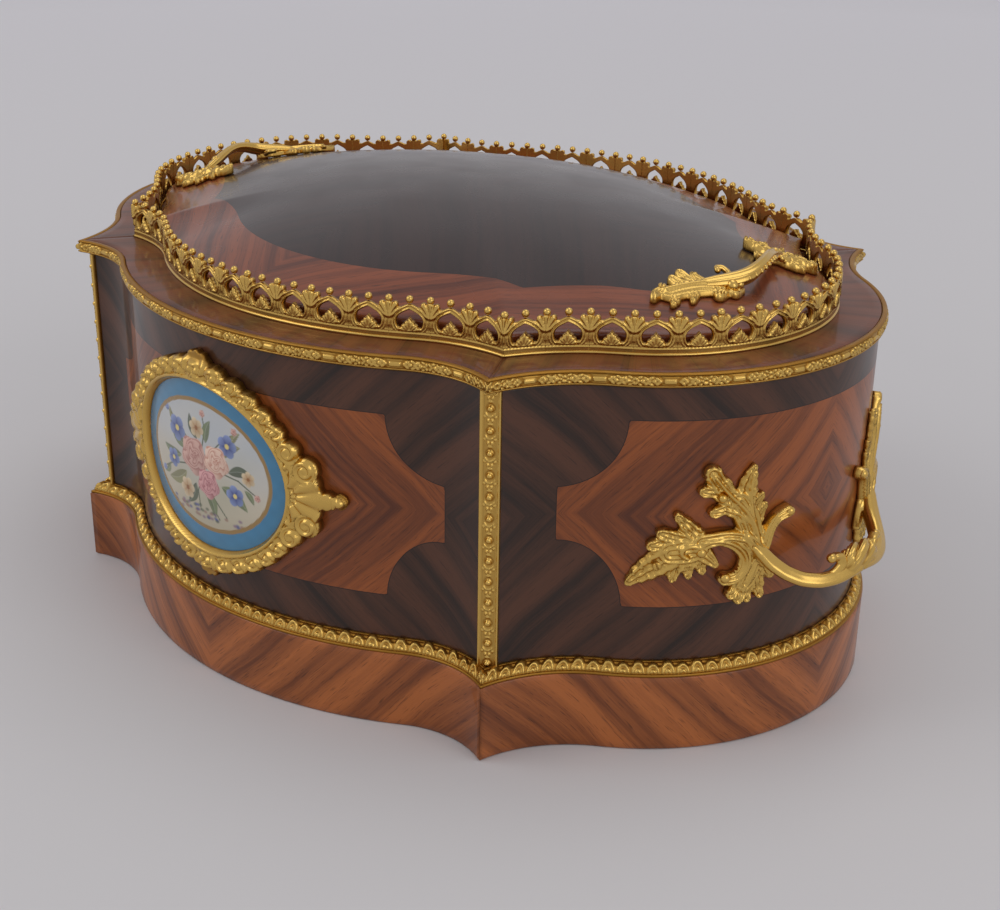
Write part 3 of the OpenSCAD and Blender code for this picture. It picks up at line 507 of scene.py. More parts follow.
# %% Walls, plinth and ledge
in_plinth, behind, under = PLINTH_OUT - PLINTH_T, -WALL_IN - WALL_T, CASE_H - LEDGE_DROP
plinth = rounded([(PLINTH_OUT, 0.0), (PLINTH_OUT, PLINTH_H), (in_plinth, PLINTH_H),
                  (in_plinth, 0.0)], 0.0005)
ledge = rounded([(-LEDGE_IN, under), (behind - 0.0002, under), (behind - 0.0002, LIP),
                 (-WALL_IN, LIP), (-WALL_IN, CASE_H), (-LEDGE_W, CASE_H),
                 (-LEDGE_W, CASE_H - LEDGE_T), (-LEDGE_IN, CASE_H - LEDGE_T)], 0.0004)
wall = np.r_[np.c_[np.full(88, -WALL_IN), np.linspace(PLINTH_H, LIP, 88)],
             [(behind, LIP), (behind, PLINTH_H)]]
for k, side in enumerate(SIDES):
    panel = FRONT_PANEL if ARCS[k] is LONG else END_PANEL
    mount(sweep("wall_" + side, k, wall, 0.0015, field=lambda s, z: cartouche(s, z, **panel),
                inset=0.0035, middle=panel["mid"]), "case_" + side, veneer)
    mount(sweep("plinth_board_" + side, k, spaced(plinth, 0.003, closed=True), 0.003,
                field=lambda s, z: ONE_WOOD), "plinth_" + side, plinth_veneer)
    mount(sweep("ledge_" + side, k, spaced(ledge, 0.004, closed=True), 0.003,
                field=lambda s, z: ONE_WOOD), "top_rim_" + side, ledge_veneer)
print("boards: a wall, a plinth board and a ledge on each of", len(SIDES), "sides")

# %% [markdown]
# ## Gilt mouldings and corner strips
# The mouldings are cast lengths with a small chased pattern: oblong bars between leaf sprays at
# the top, a row of arched leaves on the plinth. A texture bump would vanish along the outline,
# where the eye looks first, so the pattern moves real points. Each motif is a few drop-shaped
# domes, and the higher dome wins where two meet, as in a carved model.

# %% Relief from domes, in millimetres
BOSS_W, SPRAY_PITCH, LEAF_PITCH = 5.0, 27.0, 6.4
EDGE_MIDDLE, FOOT_START = 5.0, 7.2


def drops(x, y, shapes):
    """The highest of several half ellipsoids: rows of centre x and y, half length, half width,
    turn in degrees and height."""
    out = np.zeros(np.broadcast(x, y).shape)
    for cx, cy, a, b, turned, high in shapes:
        c, w = math.cos(math.radians(turned)), math.sin(math.radians(turned))
        p, q = (x - cx) * c + (y - cy) * w, (y - cy) * c - (x - cx) * w
        taper = b * (1 - 0.35 * np.clip(p / a, -1, 1))
        out = np.maximum(out, high * dome(np.hypot(p / a, q / taper)))
    return out


def both(rows):
    """Rows of drops, with the mirror image of each that lies off the middle line."""
    return rows + [(x, -y, a, b, -turned, high) for x, y, a, b, turned, high in rows if y]


TOP_SPRAY = both([
    (4.0, 0, 0.8, 0.6, 0, 0.8), (5.1, 0.95, 1.2, 0.65, 35, 0.9), (6.4, 0, 0.95, 0.95, 0, 1.0),
    (7.6, 1.3, 1.2, 0.6, -20, 0.85), (8.5, 0, 1.1, 0.6, 0, 0.8), (9.5, 1.0, 1.2, 0.65, 40, 0.9),
    (10.9, 0, 1.05, 1.05, 0, 1.0), (11.9, 1.5, 1.0, 0.55, -30, 0.8), (12.5, 0, 0.6, 0.5, 0, 0.8),
    (13.4, 0.9, 0.8, 0.5, 60, 0.9)])
TOP_BOSS = both([(0, 0, 1.5, 1.5, 0, 1.0), (2.6, 0, 1.1, 0.6, 0, 0.7),
                 (1.6, 1.5, 1.1, 0.6, 45, 0.75), (4.2, 0.9, 1.2, 0.6, 30, 0.7)])
FOOT_BOSS = [(0, 0.3, 1.8, 1.6, 0, 1.0), (2.4, -0.6, 1.6, 0.7, 50, 0.8),
             (2.8, 1.2, 1.0, 0.7, 0, 0.7)]


def top_relief(end):
    """Relief of the top edge: a raised oblong bar, then leaves that spring from its ends, in
    whole copies between the bosses at the mitres."""
    run = end - BOSS_W
    step = 2 * run / max(1, round(2 * run / SPRAY_PITCH))

    def relief(s, around):
        x, w = 1000 * s, 1000 * around - EDGE_MIDDLE
        p, v = np.abs((x + run) / step % 1 - 0.5) * step, np.abs(w)
        spray = drops(np.where(np.abs(x) < run, p, 1e3), w, TOP_SPRAY)
        boss = drops(end - np.abs(x), w, TOP_BOSS)
        bar = 0.9 * smooth_step(2.6 - p, 0, 0.4) * smooth_step(1.0 - v, 0, 0.3)
        rims, inner = 0.45 * bump(v - 2.45, 0.35), 0.4 * bump(v - 1.55, 0.3) * (p < 3.1)
        parts = np.broadcast_arrays(spray, boss, bar, rims, inner)
        return np.maximum.reduce(parts) / 1000 * (v < 2.9)
    return relief


def foot_relief(end):
    """Relief of the plinth's moulding: small arched leaves side by side, each with a rim and an
    eye, tall and low in turn, so that the upper edge is scalloped."""
    pitch = end / max(1, round(end / LEAF_PITCH))

    def relief(s, around):
        x, w = 1000 * s, 1000 * around - FOOT_START
        t = (x / pitch + 0.25) % 1 - 0.5
        tall = 5.4 - 1.0 * (np.floor(x / pitch + 0.25) % 2)
        r = np.hypot(t * pitch / 2.9, w / tall)
        rim = 0.75 * bump(r - 0.8, 0.24) + 0.8 * bump(r - 0.25, 0.28)
        rim = rim + 0.3 * bump(np.abs(t) - 0.2, 0.06) * (r < 0.8)
        boss = drops(end - np.abs(x), w - 2.4, FOOT_BOSS)
        fade = smooth_step(w, -0.2, 0.4) * (0.35 + 0.65 * smooth_step(5.2 - w, 0, 1.0))
        cut = -1.2 * smooth_step(r, 1.0, 1.2) * smooth_step(w, 2.4, 3.8) * (boss < 0.1)
        return (np.maximum(0.1 + rim, boss) * fade + cut) * (w < 5.6) / 1000
    return relief


# %% Mouldings: name, node, foot, face, step along the side, relief, and offset of its length
BACK, FACE_STEP = -0.0027, 0.00036
EDGE_FACE = [(BACK, 0), (-0.0012, 0), (-0.0006, 0.0005), (-0.0012, 0.0009), (-0.0009, 0.002),
             (-0.0008, 0.003), (-0.0009, 0.004), (-0.0012, 0.0051), (-0.0006, 0.0055),
             (-0.0012, 0.006)]
FOOT_FACE = [(BACK, 0), (0.0022, 0), (0.0024, 0.0006), (0.0021, 0.0011), (0.0010, 0.0013),
             (0.0004, 0.0024), (-0.0006, 0.0040), (-0.0014, 0.0054), (-0.0018, 0.0058)]
MOULDINGS = (
    ("gilt_edge_", "edge_moulding_", CASE_H - EDGE_H, EDGE_FACE, 0.00045, top_relief, -0.0006),
    ("gilt_foot_", "base_moulding_", PLINTH_H, FOOT_FACE, 0.0004, foot_relief, 0.0024))
for k, side in enumerate(SIDES):
    for name, node, z, face, step, relief, proud in MOULDINGS:
        section = np.r_[spaced(face, FACE_STEP), [(BACK, face[-1][1])]] + [0, z]
        obj = sweep(name + side, k, section, step, relief(1000 * limits(k, proud)))
        mount(obj, node + side, gilt)

# %% [markdown]
# ## Corner strips
# Each arris is hidden by a flat gilt strip with two raised borders. The channel between them
# carries a bead, then a crescent, all the way down.

# %% Corner strips
STRIP_W, STRIP_PITCH = 0.0087, 9.5
ARRIS = np.array(corner(-WALL_IN))
turn_long, turn_short = end_turn(LONG, -WALL_IN), end_turn(SHORT, -WALL_IN)
MITRE = float(turn_short + math.pi / 2 - turn_long) / 2
HALF_ANGLE = math.pi / 2 - float(math.pi / 2 - turn_long - turn_short) / 2
CUT = STRIP_W / 2 / math.tan(HALF_ANGLE)


def strip_height(y, z):
    """Height of a strip's face above its back: a flat band between two narrow rims, with a bead,
    a crescent and a small knot along its middle, over and over."""
    y, z = np.broadcast_arrays(1000 * y, 1000 * z)
    v, p = np.abs(y), z % STRIP_PITCH - STRIP_PITCH / 2
    rim = 0.45 * smooth_step(v, 3.45, 3.75) - 0.4 * smooth_step(v, 4.1, 4.35)
    field = -0.2 * smooth_step(3.3 - v, 0.0, 0.4)
    bead = drops(p, y, [(2.6, 0, 1.35, 1.35, 0, 1.5)])
    moat = -0.28 * bump(np.hypot(p - 2.6, y) - 1.75, 0.5)
    crescent = 0.85 * bump(np.hypot(p - 1.2, y) - 2.0, 0.45) * smooth_step(1.2 - p, 0.0, 0.8)
    knot = drops(p, v, [(-2.4, 0.8, 0.9, 0.6, 0, 0.9), (-3.9, 0.0, 0.6, 1.1, 0, 0.8),
                        (-0.9, 2.2, 0.7, 0.5, 40, 0.75)])
    bead = bead + moat
    middle = np.where(bead > 0, bead, np.minimum(bead, 0) + np.maximum(crescent, knot))
    return (2.05 + rim + field + middle) / 1000


low, high = PLINTH_H + FOOT_H - 0.0026, CASE_H - EDGE_H - BED
rows = int((high - low) / 0.0004)
z = np.linspace(low, high, rows)[:, None]
y = np.r_[-1.0, -0.995, np.linspace(-0.97, 0.97, 31), 0.995, 1.0][None, :] * STRIP_W / 2
h = strip_height(y, z - (low + high) / 2)
h[:, [0, -1]] -= 0.0004
across = np.c_[np.broadcast_to(y, h.shape), np.full(rows, STRIP_W / 2), np.full(rows, -STRIP_W / 2)]
out = np.c_[h, np.zeros((rows, 2))]
relief = np.clip(1000 * out - 1.5, 0, 1).ravel()
out = out - CUT + BED
for name in ("front_right", "back_right", "back_left", "front_left"):
    sx, sy = (1 if "right" in name else -1), (1 if "back" in name else -1)
    a = math.atan2(math.sin(MITRE) * sy, math.cos(MITRE) * sx)
    points, faces = tube_parts(np.stack([
        ARRIS[0] * sx + out * math.cos(a) - across * math.sin(a),
        ARRIS[1] * sy + out * math.sin(a) + across * math.cos(a), z + 0 * out], -1))
    obj = new_object("gilt_strip_" + name, points, faces, {"relief": relief})
    mount(obj, "corner_strip_" + name, gilt)

# %% [markdown]
# ## The domed lid
# The dome falls as a parabola from the middle to the edge along every direction, so it meets the
# edge at one height all round, whatever the plan does. A lathe would need a round plan; here
# each ring is the plan itself, drawn in towards the centre.

# %% Plan outline, inner distance and the dome
LID_TOP, DOME_H, DOME_T, FRAME_W = CASE_H + 0.007, 0.028, 0.009, 0.020
LID_SEAT, LID_SPAN, PANEL_IN = LID_TOP - 0.004, 0.215, 0.057
RIM_POINTS, RIM_STEPS, SOFT_WAVES = 400, 720, 5.5


def outline(o, per_side):
    """Points round the closed plan at offset o, anticlockwise, without repeats."""
    return np.concatenate([np.c_[place(k, np.linspace(
        limits(k, o), -limits(k, o), per_side, endpoint=False), o, o)] for k in (3, 0, 1, 2)])


def inward(x, y):
    """Signed offset of a point from the plan's edge: the greatest of the four sides' distances."""
    best = np.full(np.broadcast(x, y).shape, -1.0)
    for g, turned in zip(ARCS, TURNS):
        c, w = math.cos(turned), math.sin(turned)
        along, out = np.abs(x * c + y * w), y * c - x * w
        bow = np.hypot(along, out - g["centre"]) - g["r_bow"]
        hollow = g["r_hollow"] - np.hypot(along - g["hollow"][0], out - g["hollow"][1])
        on_bow = np.arctan2(along, out - g["centre"]) < g["turn"]
        best = np.maximum(best, np.where(out > 0, np.where(on_bow, bow, hollow), -1.0))
    return best


def edge_reach(x, y, o):
    """Distance from the centre to the plan's edge at offset o along each point's direction, and
    the same with the corners averaged away."""
    rim = outline(o, RIM_POINTS)
    angle = np.arctan2(rim[:, 1], rim[:, 0])
    order = np.argsort(angle)
    even = np.linspace(-math.pi, math.pi, RIM_STEPS, endpoint=False)
    reach = np.interp(even, angle[order], np.hypot(*rim[order].T), period=2 * math.pi)
    waves = np.fft.rfft(reach)
    mild = np.fft.irfft(waves * np.exp(-(np.arange(len(waves)) / SOFT_WAVES) ** 2))
    turned = np.arctan2(y, x)
    return [np.interp(turned, even, r, period=2 * math.pi) for r in (reach, mild)]


def dome_z(x, y):
    """Height of the lid's outside above the table: a parabola along each direction, whose corners
    soften towards the middle."""
    edge, mild = edge_reach(x, y, -LID_IN)
    r = np.hypot(x, y)
    t = np.minimum(1, r / edge)
    t = t + (r / mild - t) * (1 - smooth_step(t, 0.5, 0.985))
    return LID_TOP + np.minimum(DOME_H * (1 - t * t), DOME_H - 0.00006)


# %% The shell: rings of (share of the plan, height or 0 on the dome, drop below the dome)
lid_veneer = veneer_material("veneer_lid", ((50, 31, 27), (38, 24, 22)),
                             ((140, 73, 43), (82, 39, 25)), 150.0, 0.24, 0.38, crossed=True)
plan = outline(-LID_IN, 110)
seat = 1 - FRAME_W / LID_SPAN
rings = [(t, 0.0, -DOME_T) for t in np.linspace(0.02, seat, 12)]
rings += [(seat, LID_SEAT, 0), (0.999, LID_SEAT, 0), (1.0, LID_SEAT + 0.0005, 0)]
rings += [(1.0, z, 0) for z in np.linspace(LID_SEAT + 0.001, LID_TOP - 0.0008, 4)]
rings += [(t, 0.0, 0) for t in np.r_[np.linspace(0.998, 0.05, 88), 0.02, 0.004]]
p, faces = tube_parts(np.array([np.c_[plan * t, z + 0 * plan[:, 0] if z else
                                      dome_z(*(plan * t).T) + down] for t, z, down in rings]))
lid = new_object("lid_shell", p, faces, {"field": 1000 * (inward(*p[:, :2].T) + PANEL_IN)},
                 p[:, :2])
mount(lid, "lid_dome", lid_veneer, body="lid")
print("lid: top at", round(float(p[:, 2].max()) * 1000, 1), "mm")

# %% [markdown]
# ## The pierced gallery
# The gallery is cast in lengths and chased: arches like onions with a raised rib, a veined leaf
# in each opening, and between them a fan of lobes on a stem. A flat casting like this is one
# height over one outline. The outline is a distance built from simple shapes, so the same numbers
# give the edge, the rib beside it and the walls of the holes.

# %% Casting tool
CORNERS = ((0, 0), (1, 0), (1, 1), (0, 1))


def disc(x, y, cx, cy, r):
    """Distance to a disc."""
    return np.hypot(x - cx, y - cy) - r


def capsule(x, y, ax, ay, bx, by, ra, rb):
    """Distance to a rounded bar between two points whose radius changes from ra to rb."""
    dx, dy = bx - ax, by - ay
    t = np.clip(((x - ax) * dx + (y - ay) * dy) / (dx * dx + dy * dy), 0, 1)
    return np.hypot(x - ax - t * dx, y - ay - t * dy) - (ra + t * (rb - ra))


def cast(field, height, xs, ys, edge, joined=False):
    """A flat-backed casting: grid cells inside the outline (field below zero), with the outer
    points drawn onto it; joined castings keep their height at both ends. Returns x, y and height
    of front and back points, and the faces."""
    x, y = np.meshgrid(xs, ys, indexing="ij")
    inside = field(x, y) < 0
    rows, columns = len(xs) - 1, len(ys) - 1
    at = [(slice(i, i + rows), slice(j, j + columns)) for i, j in CORNERS]
    cell = np.logical_or.reduce([inside[a] for a in at])
    used = np.zeros(x.shape, bool)
    for a in at:
        used[a] |= cell
    moved, e = used & ~inside, 0.05 * (xs[1] - xs[0])
    for _ in range(3):
        f = field(x, y)
        gx, gy = field(x + e, y) - field(x - e, y), field(x, y + e) - field(x, y - e)
        gx, gy = gx / 2 / e, gy / 2 / e
        n = np.maximum(gx * gx + gy * gy, 0.25)
        x, y = np.where(moved, x - f * gx / n, x), np.where(moved, y - f * gy / n, y)
    x, y = np.clip(x, xs[0], xs[-1]), np.clip(y, ys[0], ys[-1])
    size = int(used.sum())
    number = np.full(used.shape, -1)
    number[used] = np.arange(size)
    front = np.stack([number[a][cell] for a in at], 1)
    edges = np.concatenate([front[:, [i, (i + 1) % 4]] for i in range(4)])
    rim = edges[~np.isin(edges @ [size, 1], edges @ [1, size])]
    wall = np.stack([rim[:, 1], rim[:, 0], rim[:, 0] + size, rim[:, 1] + size], 1)
    px, py = x[used], y[used]
    on_edge = np.zeros(size, bool)
    on_edge[rim.ravel()] = True
    if joined:
        on_edge &= (px - xs[0] > 1e-6) & (xs[-1] - px > 1e-6)
    h = np.r_[np.where(on_edge, edge, height(px, py)), np.zeros(size)]
    return np.r_[px, px], np.r_[py, py], h, [front, front[:, ::-1] + size, wall]


# %% One arch, in millimetres
ARCH_W, ARCH_H, ARCH_PITCH, RAIL_H, BALL_D, PLATE_T = 11.1, 8.7, 17, 4.2, 3.4, 1.5
SPRIG_Z, FAN_Z, FAN_ROOT, BAND_W = 9.7, 9.2, 0.4, 2.3
FAN = [(0, 6.1, 1.15), (27, 6.2, 1.3), (54, 5.7, 1.3)]
ONION = np.array([(0, 0.62), (0.1, 0.83), (0.2, 0.94), (0.32, 0.99), (0.42, 1), (0.52, 0.975),
                  (0.62, 0.905), (0.71, 0.79), (0.79, 0.64), (0.86, 0.45), (0.92, 0.27),
                  (0.96, 0.14), (1, 0)])
SPRIG_FOOT = [(1.1, 0.3, 0.8, 0.6, 60, 1.0), (3.0, -0.1, 1.0, 0.55, 15, 0.9),
              (4.6, 0.5, 0.8, 0.5, 60, 0.9), (0, 1.9, 0.9, 0.7, 90, 1.15)]


def onion_half(f):
    """Half width of the opening at a share of its height: round below, drawn to a point above."""
    return ARCH_W / 2 * np.interp(f, *ONION.T)


def onion(x, y):
    """Rough distance to the opening, below zero inside it: from the lines of its outline."""
    f = np.linspace(0, 1, 40)
    ox, oy = onion_half(f), RAIL_H + ARCH_H * f
    ax, ay = np.r_[-ox[0], 0, ox, -ox[::-1]], np.r_[oy[0], oy[0], oy, oy[::-1]]
    dx, dy = np.roll(ax, -1) - ax, np.roll(ay, -1) - ay
    x, y = (v[..., None] for v in np.broadcast_arrays(x, y))
    t = ((x - ax) * dx + (y - ay) * dy) / np.maximum(dx * dx + dy * dy, 1e-9)
    t = np.clip(t, 0, 1)
    far = np.hypot(x - ax - t * dx, y - ay - t * dy).min(-1)
    share = (y[..., 0] - RAIL_H) / ARCH_H
    within = (np.abs(x[..., 0]) < onion_half(share)) & (share > 0) & (share < 1)
    return np.where(within, -far, far)


def sprig(x, y):
    """Distance to the leaf in the opening: a triangle with scalloped sides on the rail."""
    lobes = 0.16 * np.cos(2 * np.pi * (y - SPRIG_Z) / 1.4)
    return np.abs(x) * 0.74 + (y - SPRIG_Z) * 0.67 + lobes * (y < SPRIG_Z - 0.9)


def palmette(q, y):
    """Distance to the fan between two arches, and its relief: the highest of its round lobes."""
    field, high = disc(q, y, 0, FAN_Z + 2.2, 2.7), 0.0 * q
    for turned, far, r in FAN:
        c, w = math.sin(math.radians(turned)), math.cos(math.radians(turned))
        root, tip = (FAN_ROOT * c, FAN_Z + FAN_ROOT * w), (far * c, FAN_Z + far * w)
        lobe = capsule(q, y, *root, *tip, FAN_ROOT, r)
        share = np.clip(((q - root[0]) * c + (y - FAN_Z) * w) / far, 0, 1)
        width = FAN_ROOT + (r - FAN_ROOT) * share
        high = np.maximum(high, dome(1 + lobe / width) * (lobe < 0))
        field = np.minimum(field, lobe)
    return field, high


# %% Outline and relief of an arch
def arch_field(pitch):
    """Outline of one arch with half a palmette on each hand, as a distance."""
    def field(x, y):
        q, d = np.abs(np.abs(x) - pitch / 2), onion(x, y)
        body = np.maximum(y - RAIL_H - 0.8, -y)
        stem = np.maximum(q - 2.2, np.maximum(RAIL_H - y, y - FAN_Z - 2))
        solid = np.minimum.reduce([body, d - BAND_W, palmette(q, y)[0], stem])
        return np.maximum(solid, -np.maximum(d, -sprig(x, y)))
    return field


def arch_height(pitch):
    """Height of one arch: the plate, the double rib, the leaf, and the flutes of the palmettes."""
    def height(x, y):
        q, d, side = np.abs(np.abs(x) - pitch / 2), onion(x, y), sprig(x, y)
        rib = 1.0 * bump(d - 0.62, 0.62) + 0.65 * bump(d - 1.85, 0.5)
        turned = np.arctan2(x, y - RAIL_H + 1.2)
        leaf = 0.45 + 0.5 * smooth_step(-side, 0, 1.0) + 0.28 * np.cos(np.pi * turned / 0.36) ** 2
        foot = drops(np.abs(x), y - RAIL_H, SPRIG_FOOT)
        leaf = np.maximum(leaf * (side < 0.1) * (y > RAIL_H - 0.3), foot)
        fan = (0.2 + 0.9 * palmette(q, y)[1]) * (d > 1.5)
        stem = 0.7 * bump(q, 0.7) * (y < FAN_Z + 0.6) * (y > RAIL_H + 1.5) * (d > 1.3)
        rail = 0.5 * smooth_step(y, 0.4, 0.9) * smooth_step(3.2 - y, 0, 0.3)
        line = 0.9 * bump(y - 3.0, 0.35)
        row = 0.6 * np.abs(np.cos(np.pi * x / (pitch / 12))) * bump(y - 3.75, 0.5)
        return PLATE_T + np.maximum.reduce([rib * (y > RAIL_H - 0.2), leaf * (d < 0.4), fan, stem,
                                            rail, line, row])
    return height


# %% The four lengths: arches, a ball over each arch and each fan, and the foot
GALLERY_FOOT = np.array([(0.0011, 0), (0.0011, 0.0008), (0.0005, 0.0013), (-0.0020, 0.0013),
                         (-0.0021, 0)])


def gallery_length(k):
    """Number of arches of a side, their pitch in millimetres, and the casting of one of them."""
    span = 2000 * limits(k, -GALLERY_IN)
    count = 2 * round((span / ARCH_PITCH - 1) / 2) + 1
    pitch = span / count
    return count, pitch, cast(
        arch_field(pitch), arch_height(pitch), np.linspace(-pitch / 2, pitch / 2, 47),
        np.linspace(0, 1000 * GALLERY_H - 1.9, 48), PLATE_T - 0.25, joined=True)


def on_gallery(k, s, o, z):
    """A place on the gallery of side k: arc length, offset from its face and height, in metres."""
    s, o, z = np.broadcast_arrays(s, o, z)
    return np.stack([*place(k, s, o - GALLERY_IN, -GALLERY_IN), CASE_H + z], -1)


lengths = [gallery_length(0), gallery_length(1)]
for k, side in enumerate(SIDES):
    count, pitch, (x, y, h, faces) = lengths[k % 2]
    relief = np.where(h > 0, np.clip((h - PLATE_T + 0.4) / 1.2, 0, 1), 0.55)
    parts = [(on_gallery(k, ((i - (count - 1) / 2) * pitch + x) / 1000, (h - PLATE_T) / 1000,
                         y / 1000), faces, {"relief": relief}) for i in range(count)]
    corner_ball = int(ARCS[k] is LONG)
    for i in range(1 - corner_ball, 2 * count + corner_ball):
        centre = on_gallery(k, (i - count) * pitch / 2000, -PLATE_T / 2000,
                            GALLERY_H - BALL_D / 2000)
        p, f = tube_parts(ball(centre, BALL_D / 2000, 6, 10, 0.12))
        parts.append((p, f, {"relief": np.full(len(p), 1.0)}))
    s = np.linspace(-0.5, 0.5, 240)[:, None] * count * pitch / 1000
    p, f = tube_parts(on_gallery(k, s, *GALLERY_FOOT.T))
    parts.append((p, f, {"relief": np.full(len(p), 0.8)}))
    obj = new_object("gallery_cast_" + side, *merged(parts), closed=False)
    mount(obj, "gallery_" + side, gilt)
    print(side, "gallery:", count, "arches,", len(obj.data.polygons), "faces")

# %% [markdown]
# ## Porcelain plaque and its frame
# The plaque is soft-paste porcelain with a turquoise-blue border, a fine gilt line and a painted
# reserve. Its picture here is a plain flower spray, laid down the way an enamel painter works:
# a pale ground, leaves, petals from the back to the front, then dark accents. Every stroke is a
# formula in the plaque's own millimetres, so it has no resolution of its own.

# %% Painting tools
def blend(a, b, share):
    """From one colour to another by a share per point."""
    return a + (b - a) * share[:, None]


def wash(colour, paint, amount):
    """Lays a colour over the picture where amount is near 1."""
    return blend(colour, paint, np.clip(amount, 0, 1))


def flower(colour, x, y, cx, cy, r, petals, turned, floor_painted_light, deep, heart):
    """An open flower: petals with pale edges, deeper throats and fine veins, and a heart."""
    dx, dy = x - cx, y - cy
    rho, a = np.hypot(dx, dy), np.arctan2(dy, dx) + turned
    edge = r * (0.74 + 0.26 * np.abs(np.cos(petals * a / 2)) ** 0.7)
    shade, veins = np.clip(rho / edge, 0, 1), 0.5 + 0.5 * np.cos(a * petals * 5)
    seam = np.abs(np.sin(petals * a / 2)) ** 6
    tint = blend(deep, floor_painted_light, np.clip(shade ** 1.1 - 0.35 * seam - 0.12 * veins * shade, 0, 1))
    light = 1 + 0.10 * (dy - dx)[:, None] / r
    colour = blend(colour, tint * light, smooth_step(edge - rho, -0.15, 0.25))
    return wash(colour, heart, smooth_step(0.22 * r - rho, -0.2, 0.2))


def rose(colour, x, y, cx, cy, r, floor_painted_light, deep):
    """A full-blown rose: cupped rings of petals, each ring turned against the last."""
    dx, dy = x - cx, y - cy
    rho, a = np.hypot(dx, dy), np.arctan2(dy, dx)
    edge = r * (0.92 + 0.08 * np.cos(5 * a + 1.0))
    turns = rho / r * 4.2 + 0.5 * np.sin(3 * a + 2.2 * rho / r * 4) + 0.12 * np.sin(5 * a)
    tint = blend(deep, floor_painted_light, 0.25 + 0.75 * smooth_step(turns % 1, 0.0, 0.75)
                 - 0.35 * smooth_step(0.3 * r - rho, 0, 0.3 * r))
    light = 1 + 0.12 * (dy - dx)[:, None] / r
    return blend(colour, np.clip(tint * light, 0, 1), smooth_step(edge - rho, -0.15, 0.25))


def painted_leaf(colour, x, y, x0, y0, length, wide, turned, green):
    """A pointed leaf with a pale rib, darker on one half."""
    c, w = math.cos(turned), math.sin(turned)
    p, q = (x - x0) * c + (y - y0) * w, (y - y0) * c - (x - x0) * w
    arc = np.sin(np.pi * np.clip(p / length, 0, 1))
    q = q - 0.10 * length * arc
    half = wide * arc ** 0.8 * (1 - 0.35 * p / length)
    inside = smooth_step(half - np.abs(q), -0.1, 0.25) * (p > 0) * (p < length)
    ribs = 0.5 + 0.5 * np.cos((p - np.abs(q)) * 4.2)
    tint = green * (0.9 + 0.25 * (q > 0) - 0.10 * ribs)[:, None]
    tint = tint + 0.16 * smooth_step(0.22 - np.abs(q), 0, 0.2)[:, None]
    return blend(colour, tint, 0.92 * inside)


def stroke(colour, x, y, points, width, paint, amount=0.9):
    """A thin brush line along a polyline."""
    for a, b in zip(points[:-1], points[1:]):
        d = capsule(x, y, *a, *b, width / 2, width / 2 * 0.8)
        colour = wash(colour, paint, amount * smooth_step(-d, -0.12, 0.12))
    return colour


def linear(r, g, b):
    """A colour on screen as three linear values."""
    return np.array(tone(r, g, b)[:3])


def oval(x, y, a, b):
    """Nearly the distance to an ellipse, below zero inside it."""
    f = np.maximum(np.hypot(x / a, y / b), 1e-6)
    return (f - 1) * f / np.maximum(np.hypot(x / a ** 2, y / b ** 2), 1e-6)


# %% The picture, in millimetres from the middle of the plaque
RESERVE_A, RESERVE_B, SPREAD_X, SPREAD_Y = 39.5, 29.3, 1.17, 1.12
GREEN, OLIVE, DARK = linear(112, 126, 84), linear(138, 136, 86), linear(74, 88, 62)
BLUE, DEEP_BLUE = linear(142, 160, 206), linear(62, 76, 138)
PINK, DEEP_PINK = linear(222, 178, 162), linear(168, 98, 90)
BLUE_KIND = (5, BLUE, DEEP_BLUE, linear(236, 214, 130))
CREAM_KIND = (6, linear(228, 212, 176), linear(186, 142, 92), linear(150, 96, 44))
SHADOWS = ((14, -9, 11, 0.3), (-15, -7, 12, 0.25), (0, -15, 13, 0.3), (20, 6, 9, 0.2))
STEMS = [[(1, -4), (5, -12), (12, -19)], [(-2, -4), (2, -13), (8, -21)],
         [(0, -2), (-4, -12), (-3, -20)], [(4, 6), (12, 14), (18, 18)],
         [(-6, 6), (-15, 14), (-22, 17)], [(8, 0), (19, -1), (27, -5)],
         [(-9, -2), (-20, -5), (-27, -9)], [(0, 8), (2, 16), (1, 21)]]
LEAVES = [(-9, 4, 15, 3.4, 2.5, GREEN), (9, 6, 14, 3.2, 0.55, OLIVE),
          (10, -6, 15, 3.6, -0.5, GREEN), (-11, -6, 15, 3.4, 3.6, OLIVE),
          (1, -10, 12, 3.0, -1.15, GREEN),
          (-5, -9, 12, 2.8, -2.1, DARK), (14, 1, 13, 2.8, 0.12, DARK),
          (-14, 0, 13, 2.8, 3.05, GREEN), (2, 10, 11, 2.6, 1.25, GREEN),
          (-3, 10, 11, 2.6, 1.95, DARK), (16, 13, 8, 1.8, 0.9, OLIVE),
          (-17, 12, 8, 1.8, 2.1, OLIVE), (22, -4, 7, 1.7, -0.9, GREEN),
          (-23, -7, 7, 1.7, 3.9, GREEN)]
FLOWERS = [(-16, 11, 5.6, 0.3, BLUE_KIND), (14, 12, 5.0, 1.1, BLUE_KIND),
           (17, -8, 4.6, 0.7, BLUE_KIND), (-20, -3, 4.2, 0.1, BLUE_KIND),
           (-3, 15, 4.4, 0.2, CREAM_KIND), (-11, -13, 4.6, 0.9, CREAM_KIND),
           (24, 1, 3.4, 0.5, CREAM_KIND)]
ROSES = [(-5.5, 2.5, 8.6, PINK, DEEP_PINK),
         (7.5, 3.6, 7.2, linear(240, 206, 184), linear(196, 122, 100)),
         (2.4, -7.2, 6.6, linear(226, 168, 166), linear(158, 74, 86)),
         (18, 19, 1.7, PINK, DEEP_PINK), (-23, 18, 1.8, BLUE, DEEP_BLUE),
         (28, -6, 1.6, PINK, DEEP_PINK), (-28, -10, 1.6, BLUE, DEEP_BLUE),
         (1, 22, 1.7, PINK, DEEP_PINK)]
SPECKS = (DEEP_BLUE, linear(128, 96, 128), DARK, linear(150, 110, 96))


